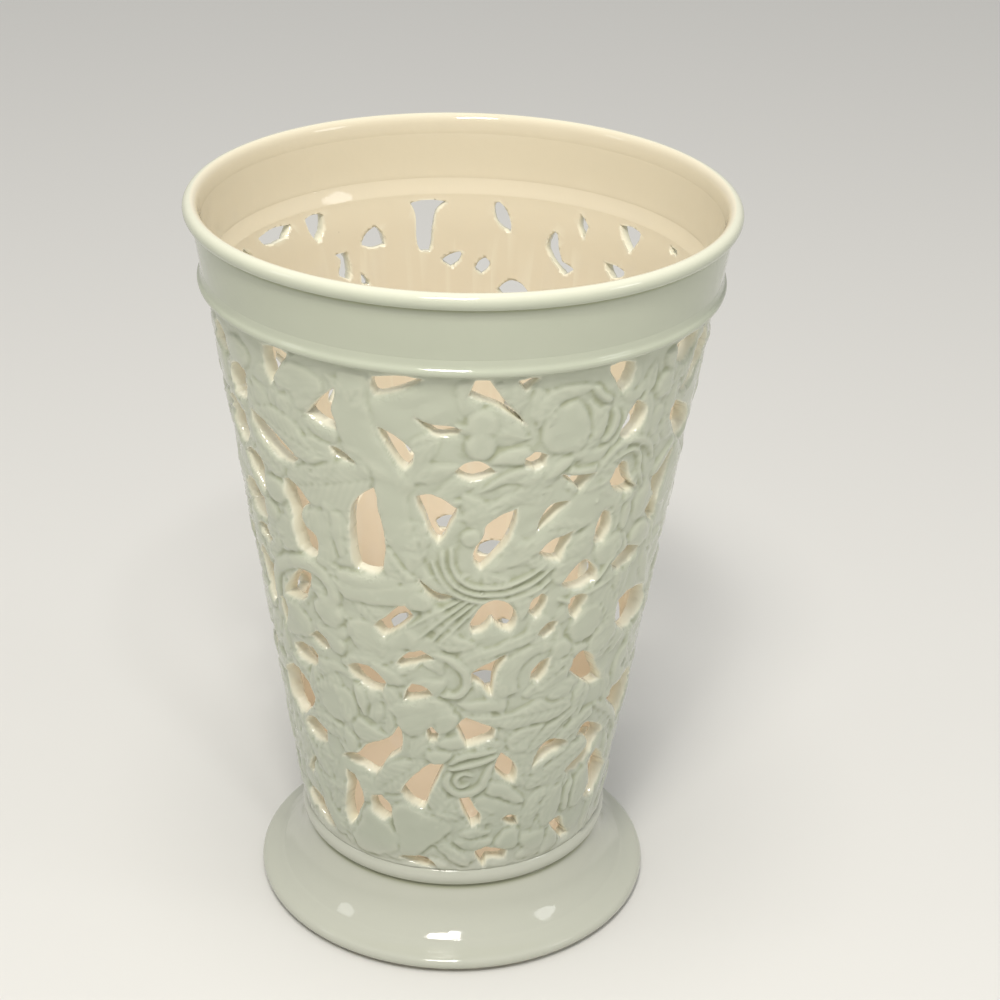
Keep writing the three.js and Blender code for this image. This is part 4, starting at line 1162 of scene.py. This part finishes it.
# %% Follow the edges of both sheets
def rim_loops(sheet):
    """The closed loops of corners along the edges of a sheet, in the direction of its triangles."""
    count = int(sheet.max()) + 1
    heads, tails = sheet.reshape(-1), sheet[:, [1, 2, 0]].reshape(-1)
    free = ~np.isin(heads * count + tails, tails * count + heads)
    following = {}
    for head, tail in zip(heads[free].tolist(), tails[free].tolist()):
        following.setdefault(head, []).append(tail)
    loops = []
    while following:
        start = next(iter(following))
        loop, point = [], start
        while not loop or point != start:
            loop.append(point)
            onward = following[point].pop()
            if not following[point]:
                del following[point]
            point = onward
        loops.append(np.array(loop))
    return loops


outer_sheet, outer_corners = trimmed_sheet(1)
inner_sheet, inner_corners = trimmed_sheet(2)
outer_loops, inner_loops = rim_loops(outer_sheet), rim_loops(inner_sheet)
print("outside", len(outer_sheet), "triangles and", len(outer_loops), "edges")
print("inside", len(inner_sheet), "triangles and", len(inner_loops), "edges")

# %% [markdown]
# ## Closing the cuts
# The sides of a cut run square to the wall. Each edge of the outer sheet is carried inwards in
# two steps, and the last step is sewn to an edge of the inner sheet, point by point, always taking
# the shorter of the two possible stitches. Edges are paired one to one, the closest pair first.
# A slit finer than the grid can be in one sheet only, and is closed with a fan of triangles.

# %% Join the two skins along every cut
side_steps = (0.15, 0.85)
furthest_partner = 4


def square_to_wall(height):
    """How far the height rises with each mm of depth, so that cuts are square to the wall."""
    fade = smooth_step(wall_low, wall_low + 6, height)
    return wall_slope * (fade * smooth_step(wall_high, wall_high - 6, height))


def placed(degrees, height, radius):
    """Places in metres of points on the wall."""
    turn = np.radians(degrees)
    rise = height + square_to_wall(height) * (skin_radius(height) - radius)
    return np.stack([radius * np.sin(turn), -radius * np.cos(turn), rise], axis=-1) * MM


def sewn(loop, other, places):
    """Triangles between two loops of corners that run the same way round."""
    a, b = places[loop], places[other]
    offset = int(np.argmin(np.linalg.norm(b - a[0], axis=1)))
    other, b = np.roll(other, -offset), np.roll(b, -offset, axis=0)
    stitches, i, j, m, n = [], 0, 0, len(loop), len(other)
    while i < m or j < n:
        here, there = a[i % m], b[j % n]
        step_here = np.sum((a[(i + 1) % m] - there) ** 2) if i < m else 9e9
        step_there = np.sum((b[(j + 1) % n] - here) ** 2) if j < n else 9e9
        if step_here <= step_there:
            stitches.append((loop[(i + 1) % m], loop[i % m], other[j % n]))
            i += 1
        else:
            stitches.append((loop[i % m], other[j % n], other[(j + 1) % n]))
            j += 1
    return stitches

# %% The sides of the cuts
def cut_sides(places, used):
    """Rings of places down the sides of every cut, their triangles, and each cut's last ring."""
    degrees, height, outer, deep = places
    added, faces, rings = [], [], []
    for loop in outer_loops:
        before = loop
        for share in side_steps:
            ring = used + np.arange(len(loop))
            radius = outer[loop] + (deep[loop] - outer[loop]) * share
            added.append(placed(degrees[loop], height[loop], radius))
            used += len(loop)
            a, b, c, d = before, np.roll(before, -1), np.roll(ring, -1), ring
            faces += [np.stack([b, a, d], axis=1), np.stack([b, d, c], axis=1)]
            before = ring
        rings.append(before)
    return added, faces, rings


def joined(rings, loops, places):
    """Triangles that sew each ring to its loop, and the rings and loops that are left alone."""
    ring_middles = np.array([places[ring].mean(axis=0) for ring in rings])
    loop_middles = np.array([places[loop].mean(axis=0) for loop in loops])
    gaps = np.linalg.norm(ring_middles[:, None] - loop_middles[None], axis=2)
    partners, faces = {}, []
    for pair in np.argsort(gaps, axis=None)[: np.count_nonzero(gaps < furthest_partner * MM)]:
        ring, loop = divmod(int(pair), len(loops))
        if ring not in partners and loop not in partners.values():
            partners[ring] = loop
            faces.append(np.array(sewn(rings[ring], loops[loop], places)))
    widest = max(gaps[ring, loop] for ring, loop in partners.items())
    print(len(partners), "rims sewn, the furthest apart by %.1f mm" % (widest / MM))
    lone = [ring[::-1] for number, ring in enumerate(rings) if number not in partners]
    lone += [loop for number, loop in enumerate(loops) if number not in partners.values()]
    return faces, lone

# %% Put the wall together
def wall_arrays():
    """All places and triangles of the wall: both sheets and the sides of the cuts."""
    degrees, height, away = outer_corners.T
    outer = looked_up(surface, degrees, height)
    outer[away == 0] = looked_up(surface_at_cut, degrees, height)[away == 0]
    deep = inner_radius(height + square_to_wall(height) * wall_thickness) + inner_rounding
    inner_degrees, inner_height, inner_away = inner_corners.T
    inner = inner_radius(inner_height + square_to_wall(inner_height) * wall_thickness)
    inner = inner + rounding_drop(inner_away, inner_rounding, inner_rounding)

    first_inner = len(outer_corners)
    used = first_inner + len(inner_corners)
    added, side_faces, rings = cut_sides((degrees, height, outer, deep), used)
    sheets = [placed(degrees, height, outer), placed(inner_degrees, inner_height, inner)]
    places = np.concatenate(sheets + added)
    loops = [loop + first_inner for loop in inner_loops]
    sewn_faces, lone = joined(rings, loops, places)
    faces = [outer_sheet, inner_sheet[:, ::-1] + first_inner] + side_faces + sewn_faces
    for loop in lone:
        places = np.vstack([places, places[loop].mean(axis=0)])
        faces.append(np.array([(a, b, len(places) - 1) for a, b in zip(loop, np.roll(loop, -1))]))
        print("a slit closed at", (places[-1] / MM).round(1), "with", len(loop), "corners")
    return places, np.concatenate(faces)


def mesh_of(name, places, faces):
    """A mesh object made from arrays of places and triangles."""
    mesh = bpy.data.meshes.new(name)
    mesh.vertices.add(len(places))
    mesh.vertices.foreach_set("co", places.astype(np.float32).reshape(-1))
    mesh.loops.add(len(faces) * 3)
    mesh.loops.foreach_set("vertex_index", faces.astype(np.int32).reshape(-1))
    mesh.polygons.add(len(faces))
    mesh.polygons.foreach_set("loop_start", np.arange(len(faces), dtype=np.int32) * 3)
    mesh.update(calc_edges=True)
    piece = bpy.data.objects.new(name, mesh)
    bpy.context.scene.collection.objects.link(piece)
    bpy.ops.object.select_all(action="DESELECT")
    piece.select_set(True)
    bpy.context.view_layer.objects.active = piece
    return piece


wall = mesh_of("pierced_wall_relief", *wall_arrays())
print("the full wall has", len(wall.data.polygons), "triangles")

# %% [markdown]
# ## Thinning the mesh
# The grid is far finer than the smooth inside of the wall needs. A Decimate modifier merges
# triangles where the surface is nearly flat and leaves them small in the creases of the relief.
# Afterwards the three attributes of the glaze are looked up on the grid again. The thinned inside
# is a few long triangles, which would shade in streaks, so its corners are given the normals of
# the plain cone that it is cut from.

# %% Thin the wall and store its attributes
most_triangles = 192000
thinning = wall.modifiers.new("thinning", "DECIMATE")
thinning.ratio = most_triangles / len(wall.data.polygons)
bpy.ops.object.modifier_apply(modifier="thinning")
bpy.ops.object.shade_smooth()


def mark_wall(piece):
    """Stores where the wall faces in, where its glaze pools and thins, and where it was wiped.

    The pools are also painted shade and the thin edges painted light.
    """
    places = values_of(piece.data.vertices, "co") / MM
    degrees = np.degrees(np.arctan2(places[:, 0], -places[:, 1]))
    radius, height = np.hypot(places[:, 0], places[:, 1]), places[:, 2]
    depth = skin_radius(height) - radius
    height = height - square_to_wall(height) * depth
    outside = smooth_step(3.4, 2.2, depth)
    # Near a cut the glaze is thin and pale, which is also painted light on the lit cut sides
    edge = np.exp(-((np.maximum(looked_up(clay, degrees, height), 0) / 0.35) ** 2))
    pool_and_painted_light = looked_up(pool_and_shade_mark, degrees, height) * (1 - edge) * outside - edge
    store(piece, "within", smooth_step(1.6, 4.2, depth))
    store(piece, "pool_and_painted_light", pool_and_painted_light)
    store(piece, "wiped", looked_up(wiped, degrees, height) * smooth_step(1.8, 1.2, depth))


def smooth_inside(piece):
    """Gives the plain inside of the wall the normals of a true cone, whatever its triangles."""
    mesh = piece.data
    places, normals = values_of(mesh.vertices, "co") / MM, values_of(mesh.vertices, "normal")
    corners = values_of(mesh.loops, "vertex_index", 1, np.int32)[:, 0]
    facing = values_of(mesh.polygons, "normal")

    def cone_normals(points):
        turn = np.arctan2(points[:, 0], -points[:, 1])
        slope = (inner_radius(points[:, 2] + 0.1) - inner_radius(points[:, 2] - 0.1)) / 0.2
        cone = np.stack([-np.sin(turn), np.cos(turn), slope], axis=1)
        return cone / np.linalg.norm(cone, axis=1)[:, None]

    triangles = places[corners].reshape(-1, 3, 3)
    middles = triangles.mean(axis=1)
    longest = np.linalg.norm(triangles - np.roll(triangles, 1, axis=1), axis=2).max(axis=1)
    radius = np.hypot(triangles[:, :, 0], triangles[:, :, 1])
    off_cone = np.abs(radius - inner_radius(triangles[:, :, 2])).max(axis=1)
    alike = (facing * cone_normals(middles)).sum(axis=1)
    plain = (off_cone < inner_rounding + 0.1) & ((alike > 0.9) | ((longest > 1.5) & (alike > 0.3)))
    at_corner = np.repeat(plain, 3)
    normals = normals[corners]
    normals[at_corner] = cone_normals(places[corners[at_corner]])
    mesh.normals_split_custom_set(normals)
    print(int(plain.sum()), "triangles lie on the plain inside")


mark_wall(wall)
smooth_inside(wall)
finish_piece(wall, "pierced_wall", glaze)
